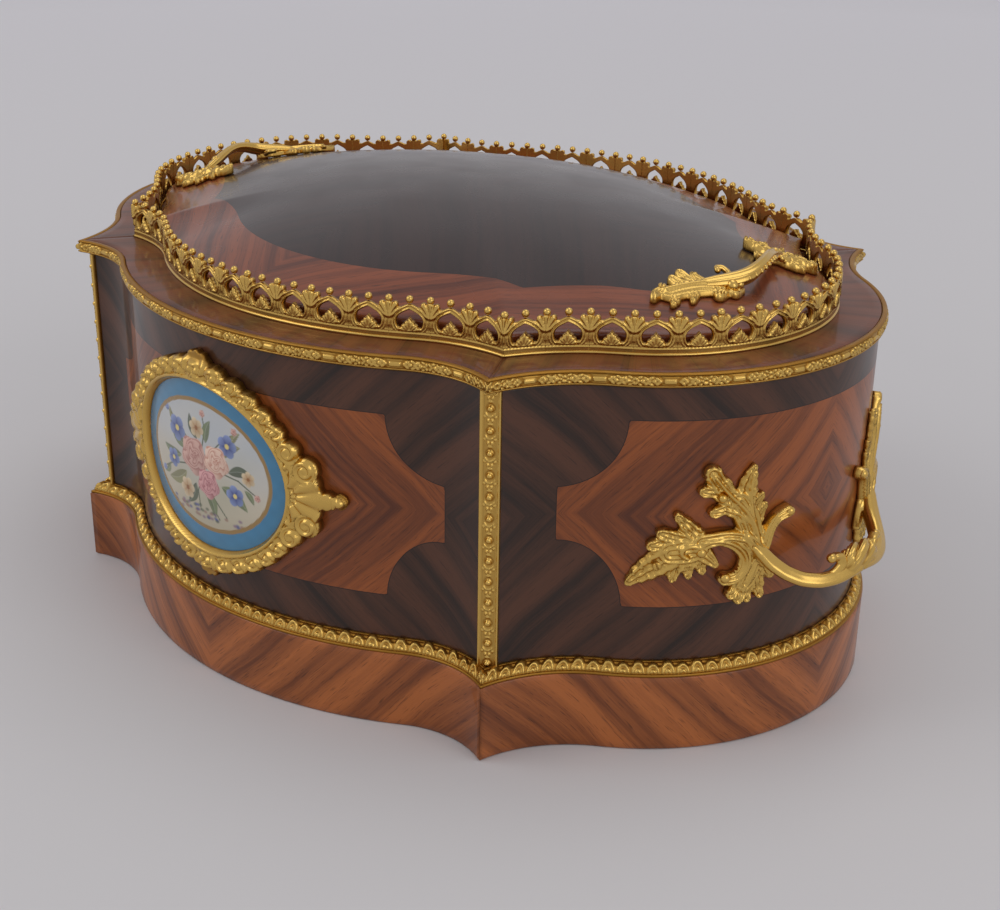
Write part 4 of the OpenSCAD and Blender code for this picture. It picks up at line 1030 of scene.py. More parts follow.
def paint_plaque(x, y):
    """Linear colour of each point of the plaque, and how much of it is gilt."""
    reserve = oval(x, y, RESERVE_A, RESERVE_B)
    cloud = 0.5 + 0.25 * np.sin(x * 0.16 + 1.1 * np.sin(y * 0.13)) \
        + 0.25 * np.sin(y * 0.21 - x * 0.05)
    c = blend(linear(206, 207, 204), linear(212, 201, 178), smooth_step(-y + 8 * cloud, -12, 20))
    c = wash(c, linear(176, 190, 206), 0.55 * smooth_step(y + 6 * cloud, 6, 26) * cloud)
    c = wash(c, linear(184, 172, 142), 0.65 * smooth_step(-y - 4 * cloud, 9, 26))
    border = linear(62, 132, 172) * (1 + 0.05 * np.sin(x * 0.5) * np.sin(y * 0.7))[:, None]
    x, y = x / SPREAD_X, y / SPREAD_Y
    for cx, cy, r, dark in SHADOWS:
        spot = np.exp(-((x - cx) / r) ** 2 - ((y - cy) / r / 0.7) ** 2)
        c = wash(c, linear(150, 158, 132), dark * spot)
    for stem in STEMS:
        c = stroke(c, x, y, stem, 0.7, DARK)
    for leaf in LEAVES:
        c = painted_leaf(c, x, y, *leaf)
    for cx, cy, r, turned, (petals, *paints) in FLOWERS:
        c = flower(c, x, y, cx, cy, r, petals, turned, *paints)
    for flower_head in ROSES:
        c = rose(c, x, y, *flower_head)
    rng = np.random.default_rng(7)
    for i in range(46):
        cx, low, bend = rng.uniform(-21, 23), rng.random(), rng.uniform(-21, 23)
        cy = -19.5 - 3.2 * low + 0.004 * bend ** 2
        speck = np.exp(-(((x - cx) / 1.1) ** 2 + ((y - cy) / 0.7) ** 2) ** 2)
        c = wash(c, SPECKS[i % 4], 0.75 * speck)
    c = blend(c, border, smooth_step(reserve, 0.5, 0.9))
    gold = smooth_step(1.1 - np.abs(reserve - 0.5), 0, 0.3)
    return wash(c, linear(168, 136, 84), gold), gold


# %% The plaque
PLAQUE_A, PLAQUE_B, PLAQUE_Z, PLAQUE_T = 49.0, 39.5, 102.0, 2.6


def on_bow(g, u, h):
    """Along and out of a place on a wall's bow, in metres: u is the distance round it and h
    the projection from it, both in mm."""
    r = 1000 * (g["r_bow"] - WALL_IN)
    a, out = np.asarray(u) / r, (r + 1000 * BED + h) / 1000
    return out * np.sin(a), g["centre"] + out * np.cos(a)


def on_front(u, z, h):
    """A place in front of the front wall: distance round the bow (to the viewer's right),
    height, and projection, all in mm; the answer is in metres."""
    x, y = on_bow(LONG, u, h)
    return np.stack(np.broadcast_arrays(x, -y, np.asarray(z) / 1000), -1)


porcelain, t = new_material("porcelain")
t.give("BSDF_PRINCIPLED", Base_Color=t.attribute("paint", out=0), Roughness=0.22,
       Metallic=t.times(t.attribute("gold"), 0.6), Coat_Weight=0.6, Coat_Roughness=0.05,
       Normal=t.add("Bump", Strength=0.08, Distance=0.0004, Height=t.noise(t.own(), 180.0, 1.0)))
radii, around = np.r_[0.004, np.linspace(0.012, 0.985, 104), 0.995, 1.0][:, None], circle(420)
u, v = PLAQUE_A * radii * np.cos(around), PLAQUE_B * radii * np.sin(around)
front = on_front(u, PLAQUE_Z + v, PLAQUE_T - 0.25 * radii ** 8)
p, faces = tube_parts(np.concatenate([front, on_front(u[-1:], PLAQUE_Z + v[-1:], 0.0)]))
paint, gold = paint_plaque(u.ravel(), v.ravel())
n = around.size
obj = new_object("plaque_enamel", p, faces, {"paint": np.r_[paint, paint[-n:]],
                                            "gold": np.r_[gold, np.zeros(n)]})
mount(obj, "plaque", porcelain)

# %% [markdown]
# The frame is one casting: a plain bevel next to the porcelain, then a ring of acanthus curls
# that grows into a fluted shell with a ball at each hand.

# %% The frame
LAP, CURL, FRAME_STEP, FRAME_EDGE, FRAME_TOP = 0.9, 9.6, 0.55, 2.4, 6.55
SHELL_AT, SHELL_R, SHELL_FLUTES, CURL_AT = 1.0, 15.9, 5.5, 6.6
VOLUTES = ((9.6, 12.6, 5.7), (1.8, 19.6, 5.0))


def hole(x, y):
    """Distance to the opening that laps over the porcelain."""
    return oval(x, y, PLAQUE_A - LAP, PLAQUE_B - LAP)


def curls(x, y):
    """Place of each point along the ring of curls, counted from the nearer crest, and its share
    of the curl that it is in."""
    a = np.arctan2(np.abs(y) / (PLAQUE_B + 5), np.abs(x) / (PLAQUE_A + 5))
    s = 50.0 * a + 5.2 * np.sin(a) ** 2
    return s, (s / CURL) % 1


def frame_field(x, y):
    """Outline of the frame: lobed ring, low peaks above and below, shell crests and balls."""
    d, part = hole(x, y), curls(x, y)[1]
    lobe = 7.6 + 2.9 * dome(2 * part - 1) + 0.2 * np.cos(6 * np.pi * part)
    peak = 4.2 * np.exp(-(np.abs(x) / 9.0) ** 2) * (1 + 0.10 * np.cos(x * 1.6))
    q = np.abs(x) - PLAQUE_A
    scallop = SHELL_R + 0.9 * np.abs(np.cos(SHELL_FLUTES * np.arctan2(y, q - SHELL_AT)))
    shell = np.maximum(disc(q, y, SHELL_AT, 0, scallop), -q - 3)
    round_parts = [disc(q, np.abs(y), *volute) for volute in VOLUTES]
    round_parts += [disc(q, y, 24.2, 0, 3.4), disc(q, y, 18.6, 0, 4.0)]
    neck = capsule(q, y, 14, 0, 22.5, 0, 4.4, 2.2)
    return np.maximum(np.minimum.reduce([d - lobe - peak, shell, neck, *round_parts]), -d)


def frame_height(x, y):
    """Relief of the frame: bevel, beaded line, curls with veins, fluted shell, ball."""
    d, (s, part) = hole(x, y), curls(x, y)
    bevel = 3.1 + 2.7 * smooth_step(d, 0.1, 1.7) - 1.5 * smooth_step(d, 2.3, 3.1)
    across, along = d - CURL_AT, (part - 0.5) * CURL
    curl = np.hypot(along, across)
    veins = 0.75 * np.cos(3 * np.arctan2(across, along) + 1.1 * curl) * smooth_step(curl, 1.2, 2.6)
    eye = 1.0 * bump(curl, 1.3) - 0.9 * bump(curl - 2.0, 0.7)
    leaf = 3.7 + 2.3 * dome(curl / 5.6) + veins + eye
    row = 4.3 + 0.6 * np.abs(np.sin(np.pi * s / 2.4)) * bump(d - 3.9, 0.8)
    h = np.where(d < 3.1, bevel, np.maximum(leaf, row)) - 1.1 * smooth_step(d - 9.4, 0, 2.4)
    q = np.abs(x) - PLAQUE_A
    r, a = np.hypot(q - SHELL_AT, y), np.arctan2(y, q - SHELL_AT)
    flutes = 3.9 + 1.5 * dome((r - 10.0) / 9.5) + 1.2 * np.abs(np.cos(SHELL_FLUTES * a))
    flutes = flutes + 0.6 * bump(r - 16.2, 1.2) - 0.8 * bump(r - 4.2, 1.0)
    h = np.where((q > 2.4) & (r < 17.9) & (np.abs(y) < 16), np.maximum(flutes, 0), h)
    for cx, cy, wide in VOLUTES:
        dx, dy = q - cx, np.abs(y) - cy
        ring = np.hypot(dx, dy)
        scroll = np.cos(np.arctan2(dy, dx) - 2.1 * ring) * smooth_step(ring, 0.6, 1.8)
        h = np.where(ring < wide, 4.7 + 1.5 * dome(ring / wide) + 0.75 * scroll, h)
    neck = 3.4 + 2.2 * dome(y / 4.6) - 0.7 * bump(q - 21.2, 0.9)
    tip = np.maximum(drops(q, y, [(24.4, 0, 3.3, 3.3, 0, 5.6)]), 2.0)
    return np.where(q > 17.2, np.maximum(neck * (q < 22.4), tip), h)


x, y, h, faces = cast(frame_field, frame_height, np.arange(-77.7, 77.8, FRAME_STEP),
                      np.arange(-54.45, 54.5, FRAME_STEP), FRAME_EDGE)
inner = (h == FRAME_EDGE) & (hole(x, y) < 0.7)
h = np.minimum(np.where(inner, PLAQUE_T + 0.3, h), FRAME_TOP)
obj = new_object("plaque_frame_cast", on_front(x, PLAQUE_Z + y, h), faces,
                 {"relief": np.clip((h - 2.6) / 3.6, 0, 1)})
mount(obj, "plaque_frame", gilt)
print("plaque and frame:", len(obj.data.polygons), "faces in the frame")

# %% [markdown]
# ## Handles: acanthus sprays and grips
# The handles are cast from one model each and chased by hand. A chaser works an acanthus leaf
# lobe by lobe: each lobe is a rounded finger with grooves along it, and it dips under the next.
# So a spray is a list of lobes, each a path with a width and a height. The highest lobe wins at
# every point, which gives the creases between them, and their union is the outline. A carved mesh
# would be harder to change. Bars that leave the wall are tubes along curves.

# %% Lobes
SPRAY_STEP = 0.46


def resampled(path, knots, n, passes):
    """n points along a path, its corners rounded by a few averaging passes."""
    c = np.stack([np.interp(np.linspace(0, knots[-1], n), knots, v) for v in path.T], 1)
    for _ in range(max(1, passes)):
        c[1:-1] = (c[:-2] + 2 * c[1:-1] + c[2:]) / 4
    return c


def lobe_shape(x, y, c, teeth=0):
    """Distance to a lobe, its share across from -1 to 1 and its share along. Teeth widen it
    step by step towards its tip, like the edge of a saw."""
    field, across, along = np.full(x.shape, 1e3), np.zeros(x.shape), np.zeros(x.shape)
    for i, ((ax, ay, ra), (bx, by, rb)) in enumerate(zip(c[:-1], c[1:])):
        dx, dy = bx - ax, by - ay
        t = np.clip(((x - ax) * dx + (y - ay) * dy) / (dx * dx + dy * dy), 0, 1)
        px, py = x - ax - t * dx, y - ay - t * dy
        share, r = (i + t) / (len(c) - 1), ra + t * (rb - ra)
        if teeth:
            r = r * (0.88 + 0.24 * ((share * teeth) % 1))
        d = np.hypot(px, py)
        near = d - r < field
        field = np.where(near, d - r, field)
        across = np.where(near, d / r * np.sign(px * dy - py * dx), across)
        along = np.where(near, share, along)
    return field, across, along


def lobe_height(v, along, rise, grooves, teeth):
    """Relief of a lobe: toothed ones are hollow with a rim and a rib, others are grooved."""
    arch = np.sqrt(np.clip(1 - 0.9 * v * v, 0, 1))
    if not teeth:
        return rise * (arch + 0.24 * np.cos(np.pi * grooves * v) * smooth_step(along, 0.0, 0.25))
    rim = 0.5 * bump(np.abs(v) - 0.66, 0.32) + 0.42 * bump(v, 0.2)
    steps = 0.12 * np.cos(2 * np.pi * (along * teeth - np.abs(v) * 0.6))
    return rise * ((0.42 + rim) * np.sqrt(arch) - steps)


def relief_grid(lobes, edge=1.0):
    """The casting of a spray as grid points, heights and faces. Each lobe: its path of (along,
    up, radius), height of its edge, rise of its middle, grooves, rise of its tip, teeth."""
    paths = []
    for path, *rest in lobes:
        path = np.asarray(path, float)
        knots, n = np.r_[0, np.cumsum(np.hypot(*np.diff(path[:, :2], axis=0).T))], 3 * len(path)
        paths.append((resampled(path, knots, n, n // 6), *rest))
    knots = np.concatenate([c for c, *_ in paths])
    low = knots[:, :2].min(0) - knots[:, 2].max() - SPRAY_STEP
    high = knots[:, :2].max(0) + knots[:, 2].max() + SPRAY_STEP

    def field(x, y):
        return np.minimum.reduce([lobe_shape(x, y, c, rest[-1])[0] for c, *rest in paths])

    def height(x, y):
        best = np.full(x.shape, edge)
        for c, base, rise, grooves, tip, teeth in paths:
            f, v, along = lobe_shape(x, y, c, teeth)
            up = tip * smooth_step(along, 0.6, 1.0) * (0.3 + 0.7 * v * v)
            shape = base + lobe_height(v, along, rise, grooves, teeth) + up
            best = np.maximum(best, np.where(f < 0.15, shape, 0))
        return best

    return cast(field, height, np.arange(low[0], high[0], SPRAY_STEP),
                np.arange(low[1], high[1], SPRAY_STEP), edge)


# %% Parts of a handle, in its own (along, up, projection), laid on a wall by a function
def relief_parts(lay, grid):
    """A spray's grid."""
    x, y, h, faces = grid
    return lay(x, y, h), faces, {"relief": np.clip(0.1 + h / 5.0, 0, 1)}


def laid(lay, rings, relief):
    """Rings as a closed part, with the relief of each point."""
    points, faces = tube_parts(rings)
    return lay(*points.T), faces, {"relief": np.broadcast_to(relief, rings.shape[:2]).ravel()}


def bar_points(path, n):
    """n points along a path, its corners rounded."""
    return resampled(np.asarray(path, float), np.linspace(0, 1, len(path)), n, n // 10)


def bar_parts(lay, path, radius, n, m=18, flutes=0, depth=0.0, flat=1.0, blunt=0.35):
    """A round or fluted bar with n rings of m points, its radii given in steps along it."""
    t, c = np.linspace(0, 1, n), bar_points(path, n)
    r = np.interp(t, np.linspace(0, 1, len(radius)), radius)
    r = r * np.minimum(1, blunt + (1 - blunt) * np.minimum(t, 1 - t) * n / 3.0)
    d = np.gradient(c, axis=0)
    d /= np.linalg.norm(d, axis=1)[:, None]
    e = np.stack([-d[:, 1], d[:, 0], 0 * t], 1)
    e /= np.maximum(np.linalg.norm(e, axis=1), 1e-6)[:, None]
    f = np.cross(d, e)
    f *= np.where(f[:, 2:] < 0, -1, 1)
    a = circle(m)
    swell = r[:, None, None] * (1 + depth * np.cos(flutes * a))[:, None]
    rings = c[:, None, :] + swell * (np.cos(a)[:, None] * e[:, None, :]
                                     + flat * np.sin(a)[:, None] * f[:, None, :])
    rings[..., 2] = np.maximum(rings[..., 2], 0)
    # Relief runs from low on the side turned to the wall to high on the outer side, so the gilding
    # paints the bar's underside darker: painted shade.
    ribs = 0.3 * np.cos(flutes * a) if flutes else 0
    return laid(lay, rings, np.clip(0.6 + 0.4 * np.sin(a) + ribs, 0, 1))


def bead_parts(lay, centre, r, around=14):
    """A small round boss that doesn't go below the wall."""
    rings = ball(centre, r, 9, around, 0.1)
    rings[..., 2] = np.maximum(rings[..., 2], 0)
    return laid(lay, rings, 0.9)


def screw_parts(lay, u, v, h, r):
    """A round slotted screw head."""
    rho, a = np.linspace(0.02, 1, 12)[:, None], circle(32)
    x, y = r * rho * np.cos(a), r * rho * np.sin(a)
    top = 0.45 * r * np.sqrt(1 - 0.9 * rho ** 2) - 0.4 * r * (np.abs(x + 0.5 * y) < 0.2 * r)
    rings = np.stack([u + x, v + y, h + top], -1)
    rings = np.concatenate([rings, rings[-1:] * [1, 1, 0] + [0, 0, h - 1.2]])
    return laid(lay, rings, np.clip(0.2 + np.r_[top, 0 * a[None] + top[-1, -1]] / r, 0, 1))


# %% End handles
HANDLE_Z, FINGER, GRIP_D = 88.0, 12.0, 7.0
GRIP_H, GRIP_Z, KNUCKLE_TOP = FINGER + GRIP_D * 0.8, HANDLE_Z - 9.6, 23.0


def on_end(end, hand):
    """Lays (along, up, projection) on an end wall: end is +1 right or -1 left, hand mirrors."""
    def lay(u, z, h):
        y, x = on_bow(SHORT, hand * np.asarray(u), h)
        return np.stack(np.broadcast_arrays(end * x, end * y, np.asarray(z) / 1000), -1)
    return lay


END_LOBES = [
    # the upright leaf: body, then its lobes from the left round to the right
    ([(-41, 92, 4.4), (-45, 104, 6.0), (-50, 112, 5.2)], 0.8, 2.4, 5, 0.0, 0),
    ([(-49, 110, 4.2), (-56.5, 118, 4.0), (-62.3, 126.4, 3.7)], 0.8, 2.6, 4, 1.6, 3),
    ([(-53, 113, 3.6), (-60, 117.5, 2.9), (-65.4, 118.6, 2.5)], 0.8, 2.4, 2, 1.2, 2),
    ([(-47, 105, 3.6), (-54, 110.0, 2.9), (-60.8, 109.0, 2.4)], 0.8, 2.6, 2, 1.4, 2),
    ([(-45.6, 106, 4.2), (-46.4, 116, 5.0), (-45.6, 121, 3.8), (-44.0, 127.2, 1.2)],
     0.7, 2.0, 5, 0.4, 6),
    ([(-44, 104, 3.8), (-41.2, 111, 2.6), (-39.2, 114.4, 1.1)], 0.7, 1.8, 2, 0.4, 2),
    ([(-42, 99, 3.4), (-39.2, 106, 2.4), (-37.4, 109.6, 1.0)], 0.7, 1.8, 2, 0.4, 2),
    ([(-51, 112, 2.6), (-54.5, 119, 2.4), (-55.5, 122.5, 1.2)], 0.8, 2.2, 2, 0.6, 2),
    ([(-39, 88, 1.9), (-42, 100, 1.5), (-47, 109, 1.3), (-55, 116.5, 1.1), (-61, 124.5, 0.7)],
     2.4, 1.8, 1, 0.0, 0),
    ([(-41, 96, 1.3), (-44, 107, 1.1), (-45.6, 116, 0.9), (-44.6, 124, 0.6)], 2.0, 1.4, 1, 0.0, 0),
    ([(-42, 99, 1.1), (-48, 106.5, 1.0), (-55, 109.6, 0.8)], 2.2, 1.3, 1, 0.0, 0),
    # the long branch: stem, clustered lobes and the lance-shaped tip
    ([(-40, 89, 3.6), (-46, 95.5, 3.6), (-55, 98.0, 3.4), (-65, 96.5, 4.2)], 0.9, 3.4, 3, 0.0, 0),
    ([(-64, 94, 3.4), (-66.5, 93, 6.2), (-70, 92.4, 7.5), (-77, 91.8, 6.4)], 0.9, 2.4, 6, 0.0, 0),
    ([(-65, 97, 4.2), (-70.5, 103.0, 3.4), (-75.2, 108.2, 1.8)], 0.9, 2.8, 3, 1.2, 3),
    ([(-70, 96, 4.0), (-77, 98.6, 3.6), (-81.5, 100.6, 2.4)], 0.8, 2.6, 3, 1.2, 2),
    ([(-74, 93, 4.4), (-80.5, 95.4, 3.8), (-85.2, 95.0, 2.4)], 0.8, 2.6, 3, 1.2, 2),
    ([(-75, 91, 5.8), (-82, 86.5, 6.0), (-88.5, 82.0, 4.6), (-93.6, 77.9, 1.8)],
     0.7, 2.6, 5, 0.0, 5),
    ([(-79, 86, 3.0), (-82.5, 83, 2.4), (-84.6, 80.0, 1.0)], 0.7, 1.8, 2, 0.0, 2),
    ([(-73, 89, 4.4), (-75, 83.5, 3.4), (-76.0, 79.8, 1.8)], 0.7, 2.4, 3, 0.8, 2),
    ([(-70, 88, 3.8), (-69.4, 83.5, 2.8), (-69.4, 80.6, 1.4)], 0.7, 2.2, 2, 0.8, 2),
    ([(-65, 88, 3.4), (-64.2, 84.6, 2.7), (-63.6, 82.4, 1.6)], 0.7, 2.2, 2, 0.8, 2),
    ([(-64, 91, 4.4), (-60.8, 88.0, 3.2), (-59.0, 86.0, 2.0)], 0.8, 2.8, 3, 0.8, 0),
    ([(-64, 93, 2.0), (-68, 95.6, 1.9), (-72.4, 95.0, 1.7), (-73.6, 91.6, 1.6), (-70.4, 89.8, 1.3)],
     2.6, 2.2, 1, 0.0, 0),
    # the scroll under the branch
    ([(-67, 93.5, 2.2), (-62.5, 97.2, 2.3), (-55, 96.6, 2.5), (-48.5, 92.6, 2.6),
      (-44.8, 86.4, 2.6),
      (-46.6, 80.4, 2.5), (-51.0, 77.4, 2.4), (-54.2, 78.6, 2.8)], 1.4, 3.4, 2, 0.6, 0),
    # the fan below
    ([(-39, 87, 4.2), (-42, 80, 5.2), (-44.6, 75.5, 4.8)], 0.8, 2.4, 5, 0.0, 0),
    ([(-45, 77, 3.2), (-50.8, 70.6, 2.6)], 0.8, 2.6, 3, 1.2, 2),
    ([(-43.5, 76, 3.2), (-47.4, 67.6, 2.2)], 0.8, 2.6, 3, 1.2, 2),
    ([(-42, 75, 2.8), (-43.4, 67.4, 1.9)], 0.8, 2.4, 2, 1.0, 2),
    ([(-39.4, 82, 4.0), (-38.2, 74, 3.2), (-37.6, 68.4, 2.0)], 0.8, 2.6, 2, 1.0, 3),
    ([(-37, 86, 3.6), (-34.6, 80, 3.2), (-33.0, 77.0, 2.2)], 0.8, 2.4, 3, 0.4, 0),
    ([(-40, 85, 1.3), (-42, 78, 1.1), (-45.6, 71.4, 0.8)], 2.2, 1.3, 1, 0.0, 0),
    # the hooked leaf towards the grip, and the root of the arm
    ([(-39, 86, 3.2), (-36.6, 93, 2.7), (-35.2, 99, 2.4), (-31.6, 103.6, 2.5), (-27.0, 104.8, 2.8)],
     0.9, 3.4, 3, 0.9, 0),
    ([(-46, 97, 2.4), (-41, 91, 3.2), (-37, 84.5, 3.4)], 1.6, 3.8, 3, 0.0, 0),
]

# %% The model of an end handle
end_relief = relief_grid(END_LOBES)
ARM = [(-44, 94, 2.6), (-40, 89.4, 3.6), (-36.2, 84.4, 5.8), (-31.5, 80.2, 9.4), (-26, 77.2, 13.0),
       (-19.5, 75.8, 16.0), (-12.5, 75.8, 17.6), (-6, 77.2, 18.0), (1, GRIP_Z, GRIP_H)]
ARM_R = (2.0, 3.0, 3.2, 3.0, 2.9, 2.9, 3.0, 3.4, 3.8)
TENDRIL = [(-18, 76.0, 16.2), (-12.5, 78.0, 17.4), (-9.4, 81.2, 17.8), (-10.4, 84.6, 17.4),
           (-14.4, 85.2, 16.6)]
END_BEADS = (((-54.4, 79.4, 3.6), 2.3), ((-65.2, 92.2, 3.8), 2.2), ((-26.6, 104.8, 3.6), 2.2),
             ((-57.6, 115.4, 3.0), 1.9), ((-14.2, 84.8, 16.6), 2.1))
END_SCREW = (-82.3, 86.0, 2.6, 1.9)


def end_spray(lay):
    """One hand of an end handle, drawn with the spray to the left of the grip."""
    return [relief_parts(lay, end_relief),
            bar_parts(lay, ARM, ARM_R, 72, m=32, flutes=3, depth=0.13, flat=1.12),
            bar_parts(lay, TENDRIL, (1.6, 2.0, 2.1, 2.0, 1.8), 36, flutes=3, depth=0.15),
            *(bead_parts(lay, centre, r) for centre, r in END_BEADS)]


def knuckle(lay):
    """The leafy boss in the middle of the grip: a swelling wrapped in slanting leaves."""
    a, t = circle(96), np.linspace(-1, 1, 61)[:, None]
    slant = np.abs(np.sin(2 * a + 3.4 * t)) ** 0.7 * 2 - 1.2
    collar = bump(np.abs(t) - 0.74, 0.16)
    r = 4.9 * np.sqrt(np.clip(1 - (t * 0.93) ** 4, 0.05, 1)) * (
        0.92 + 0.12 * slant * (1 - collar) + 0.12 * collar + 0.03 * np.cos(18 * a + 16 * t))
    rings = np.stack([t * 9.0 + 0 * a, GRIP_Z + 2.2 + r * 1.42 * np.cos(a) - 1.2 * t ** 2,
                      np.minimum(GRIP_H + 0.96 * r * np.sin(a), KNUCKLE_TOP)], -1)
    return laid(lay, rings, np.clip(0.5 + 0.4 * slant + 0.5 * collar, 0, 1))


def handles(name, node, body, castings, heads):
    """Makes the two castings of a pair of handles and one object of all their screw heads."""
    for side, parts in castings.items():
        obj = new_object(name + "_handle_cast_" + side, *merged(parts), closed=False)
        mount(obj, node + "_" + side, gilt, body)
        print(obj.name, len(obj.data.polygons), "faces")
    obj = new_object(name + "_screw_heads", *merged(heads), closed=False)
    mount(obj, node + "_screws", gilt, body)


# %% Both end handles
hands = {side: [on_end(end, hand) for hand in (1, -1)]
         for side, end in (("right", 1), ("left", -1))}
handles("end", "end_handle", "case",
        {side: end_spray(one) + end_spray(other) + [knuckle(one)]
         for side, (one, other) in hands.items()},
        [screw_parts(lay, *END_SCREW) for pair in hands.values() for lay in pair])

# %% Lid handles
KNOB_X = 149.0


def on_lid(turned):
    """Lays (along, up, projection) on the dome, from the handle's own centre; turned is +1 for
    the right handle and -1 for the left, which is the same casting turned half round."""
    def lay(u, v, h):
        x, y = (KNOB_X + u) / 1000, np.asarray(v) / 1000
        z = dome_z(x, y) + BED + np.asarray(h) / 1000
        return np.stack(np.broadcast_arrays(turned * x, turned * y, z), -1)
    return lay


LID_LOBES = [
    # the long leaf that ends in a scrolled tip
    ([(14, -7, 4.0), (10, -14, 4.8), (5.4, -22, 4.9), (2.6, -30, 4.8), (1.4, -36, 3.8)],
     0.7, 2.3, 5, 0.0, 0),
    ([(0, -34, 3.8), (-1.8, -39.4, 2.8), (-0.6, -43.2, 1.6)], 0.7, 2.4, 3, 1.6, 0),
    ([(2.4, -32, 3.0), (5.8, -36.8, 2.2), (7.4, -40.6, 1.2)], 0.6, 2.0, 2, 0.8, 3),
    ([(5.4, -25, 3.2), (9.2, -29, 2.2), (10.8, -32.0, 1.0)], 0.6, 2.0, 2, 0.6, 2),
    ([(2.4, -26, 3.4), (-1.6, -25.8, 3.2), (-4.4, -26.2, 2.4)], 0.6, 2.2, 3, 1.0, 0),
    ([(3.4, -21, 3.6), (-1.6, -20.6, 3.4), (-5.2, -20.2, 2.6)], 0.6, 2.4, 3, 1.3, 0),
    ([(5, -16, 3.2), (1.0, -15.6, 2.9), (-1.8, -15.4, 2.0)], 0.6, 2.2, 2, 0.9, 0),
    ([(10, -14, 4.2), (13.4, -16, 3.8), (14.9, -20.0, 2.0)], 0.7, 2.6, 3, 0.8, 2),
    ([(12, -9, 4.2), (15.4, -9.4, 3.6), (17.0, -12.2, 2.0)], 0.7, 2.6, 3, 0.8, 2),
    ([(14, -5, 1.8), (9.4, -13, 1.9), (5.4, -22, 1.7), (2.4, -31, 1.4), (0.4, -38, 0.9)],
     2.0, 2.2, 1, 0.0, 0),
    # the cross branch under the far end of the grip
    ([(4, 41, 4.8), (-3, 40.6, 4.4), (-9, 40.2, 3.6), (-13.6, 38.4, 2.2)], 1.6, 3.6, 3, 1.0, 3),
    ([(-3, 42, 3.0), (-7.4, 45, 2.3), (-10.6, 47.0, 1.1)], 1.2, 2.8, 2, 1.0, 2),
    ([(2, 42, 4.8), (6, 46.6, 4.4), (10.4, 49.6, 3.4), (13.4, 51.4, 2.2)], 1.6, 3.6, 3, 1.0, 3),
    ([(4, 40, 3.8), (9.6, 41.6, 2.8), (13.4, 43.4, 1.2)], 1.2, 2.8, 2, 0.8, 3),
    ([(2, 44, 4.4), (2, 50, 3.4), (3.0, 55.4, 1.5)], 1.0, 2.6, 3, 1.0, 3),
    ([(-1, 44, 3.4), (-3.6, 49.4, 2.4), (-5.0, 53.4, 1.1)], 1.0, 2.4, 2, 1.0, 3),
    ([(2, 40, 3.6), (-0.6, 34.6, 2.6), (-3.8, 31.4, 1.1)], 1.0, 2.6, 2, 0.8, 2),
]

# %% The model of a lid handle
lid_relief = relief_grid(LID_LOBES, edge=0.8)
ARCH = [(4, -22, 2.4), (9, -14, 3.4), (13.4, -7, 4.6), (15.8, -1, 6.4), (15.8, 5.5, 8.2),
        (14.0, 12.5, 9.0), (11.0, 19.5, 8.6), (8.0, 26, 7.2), (5.0, 32.5, 5.6), (3.2, 38, 4.2),
        (2.6, 42.5, 2.8)]
ARCH_R = (1.4, 2.6, 3.1, 2.9, 2.5, 2.3, 2.3, 2.5, 2.6, 2.2, 1.4)
LID_CURL = [(9, -4, 2.4), (5.4, -1.4, 3.2), (2.2, -1.0, 3.6), (0.8, -3.4, 3.6), (2.6, -5.4, 3.4)]
LID_BEADS = (((2.6, -5.0, 3.6), 1.4), ((14.6, -10.2, 3.6), 2.5), ((15.2, -6.4, 3.6), 2.2),
             ((5.4, 33.0, 7.0), 1.9), ((8.2, 33.6, 5.2), 1.6), ((13.0, 50.8, 3.4), 1.9),
             ((-13.0, 38.8, 3.2), 1.7))
LID_SCREWS = ((-2.9, -35.0, 3.0, 1.7), (1.9, 46.1, 3.0, 1.7))


def lid_spray(lay):
    """The casting: a long leaf at one end, a leafy branch at the other, an arched grip between
    with a row of small beads along its outer edge."""
    row = bar_points(ARCH, 40)
    side = np.gradient(row[:, :2], axis=0)
    side = np.c_[side[:, 1], -side[:, 0]] / np.hypot(*side.T)[:, None]
    row = row + np.c_[2.4 * side, np.full(len(row), 0.2)]
    return [relief_parts(lay, lid_relief),
            bar_parts(lay, ARCH, ARCH_R, 72, m=48, flutes=8, depth=0.07),
            bar_parts(lay, LID_CURL, (1.5, 1.4, 1.3, 1.2, 1.1), 30),
            *(bead_parts(lay, centre, r) for centre, r in LID_BEADS),
            *(bead_parts(lay, centre, 1.1, 9) for centre in row[11:27:2])]


lays = {"right": on_lid(1), "left": on_lid(-1)}
handles("lid", "lid_handle", "lid", {side: lid_spray(lay) for side, lay in lays.items()},
        [screw_parts(lay, *screw) for lay in lays.values() for screw in LID_SCREWS])

# %% [markdown]
# ## Plain wood and zinc
# What the eye seldom meets is plain: the carcase is pale secondary wood, glued and blocked, and
# the planter is a soldered zinc tin. Their construction nodes are shown as they are packed, so
# they only need a finish. Each finish is built on the object's own coordinates, since these
# meshes carry no sheet of their own.

# %% Carcase wood and zinc
def plain_wood(name, light, dark):
    """Planed secondary wood: the veneers' figure along x, with open pores and no coat."""
    material, t = new_material(name)
    x, y, z = t.split(t.own())
    across = t.plus(y, t.times(z, 0.7))
    figure, pores = (t.group(grain.tree, i, Along=x, Across=across, Seed=4.0, Stripe=120.0)
                     for i in (0, 1))
    colour = t.mix(figure, tone(*dark), tone(*light))
    t.give("BSDF_PRINCIPLED", Base_Color=t.mix(t.times(pores, 0.4), colour, tone(60, 38, 24)),
           Roughness=0.72, Normal=t.add("Bump", Strength=0.2, Distance=0.0002, Height=figure))
    return material


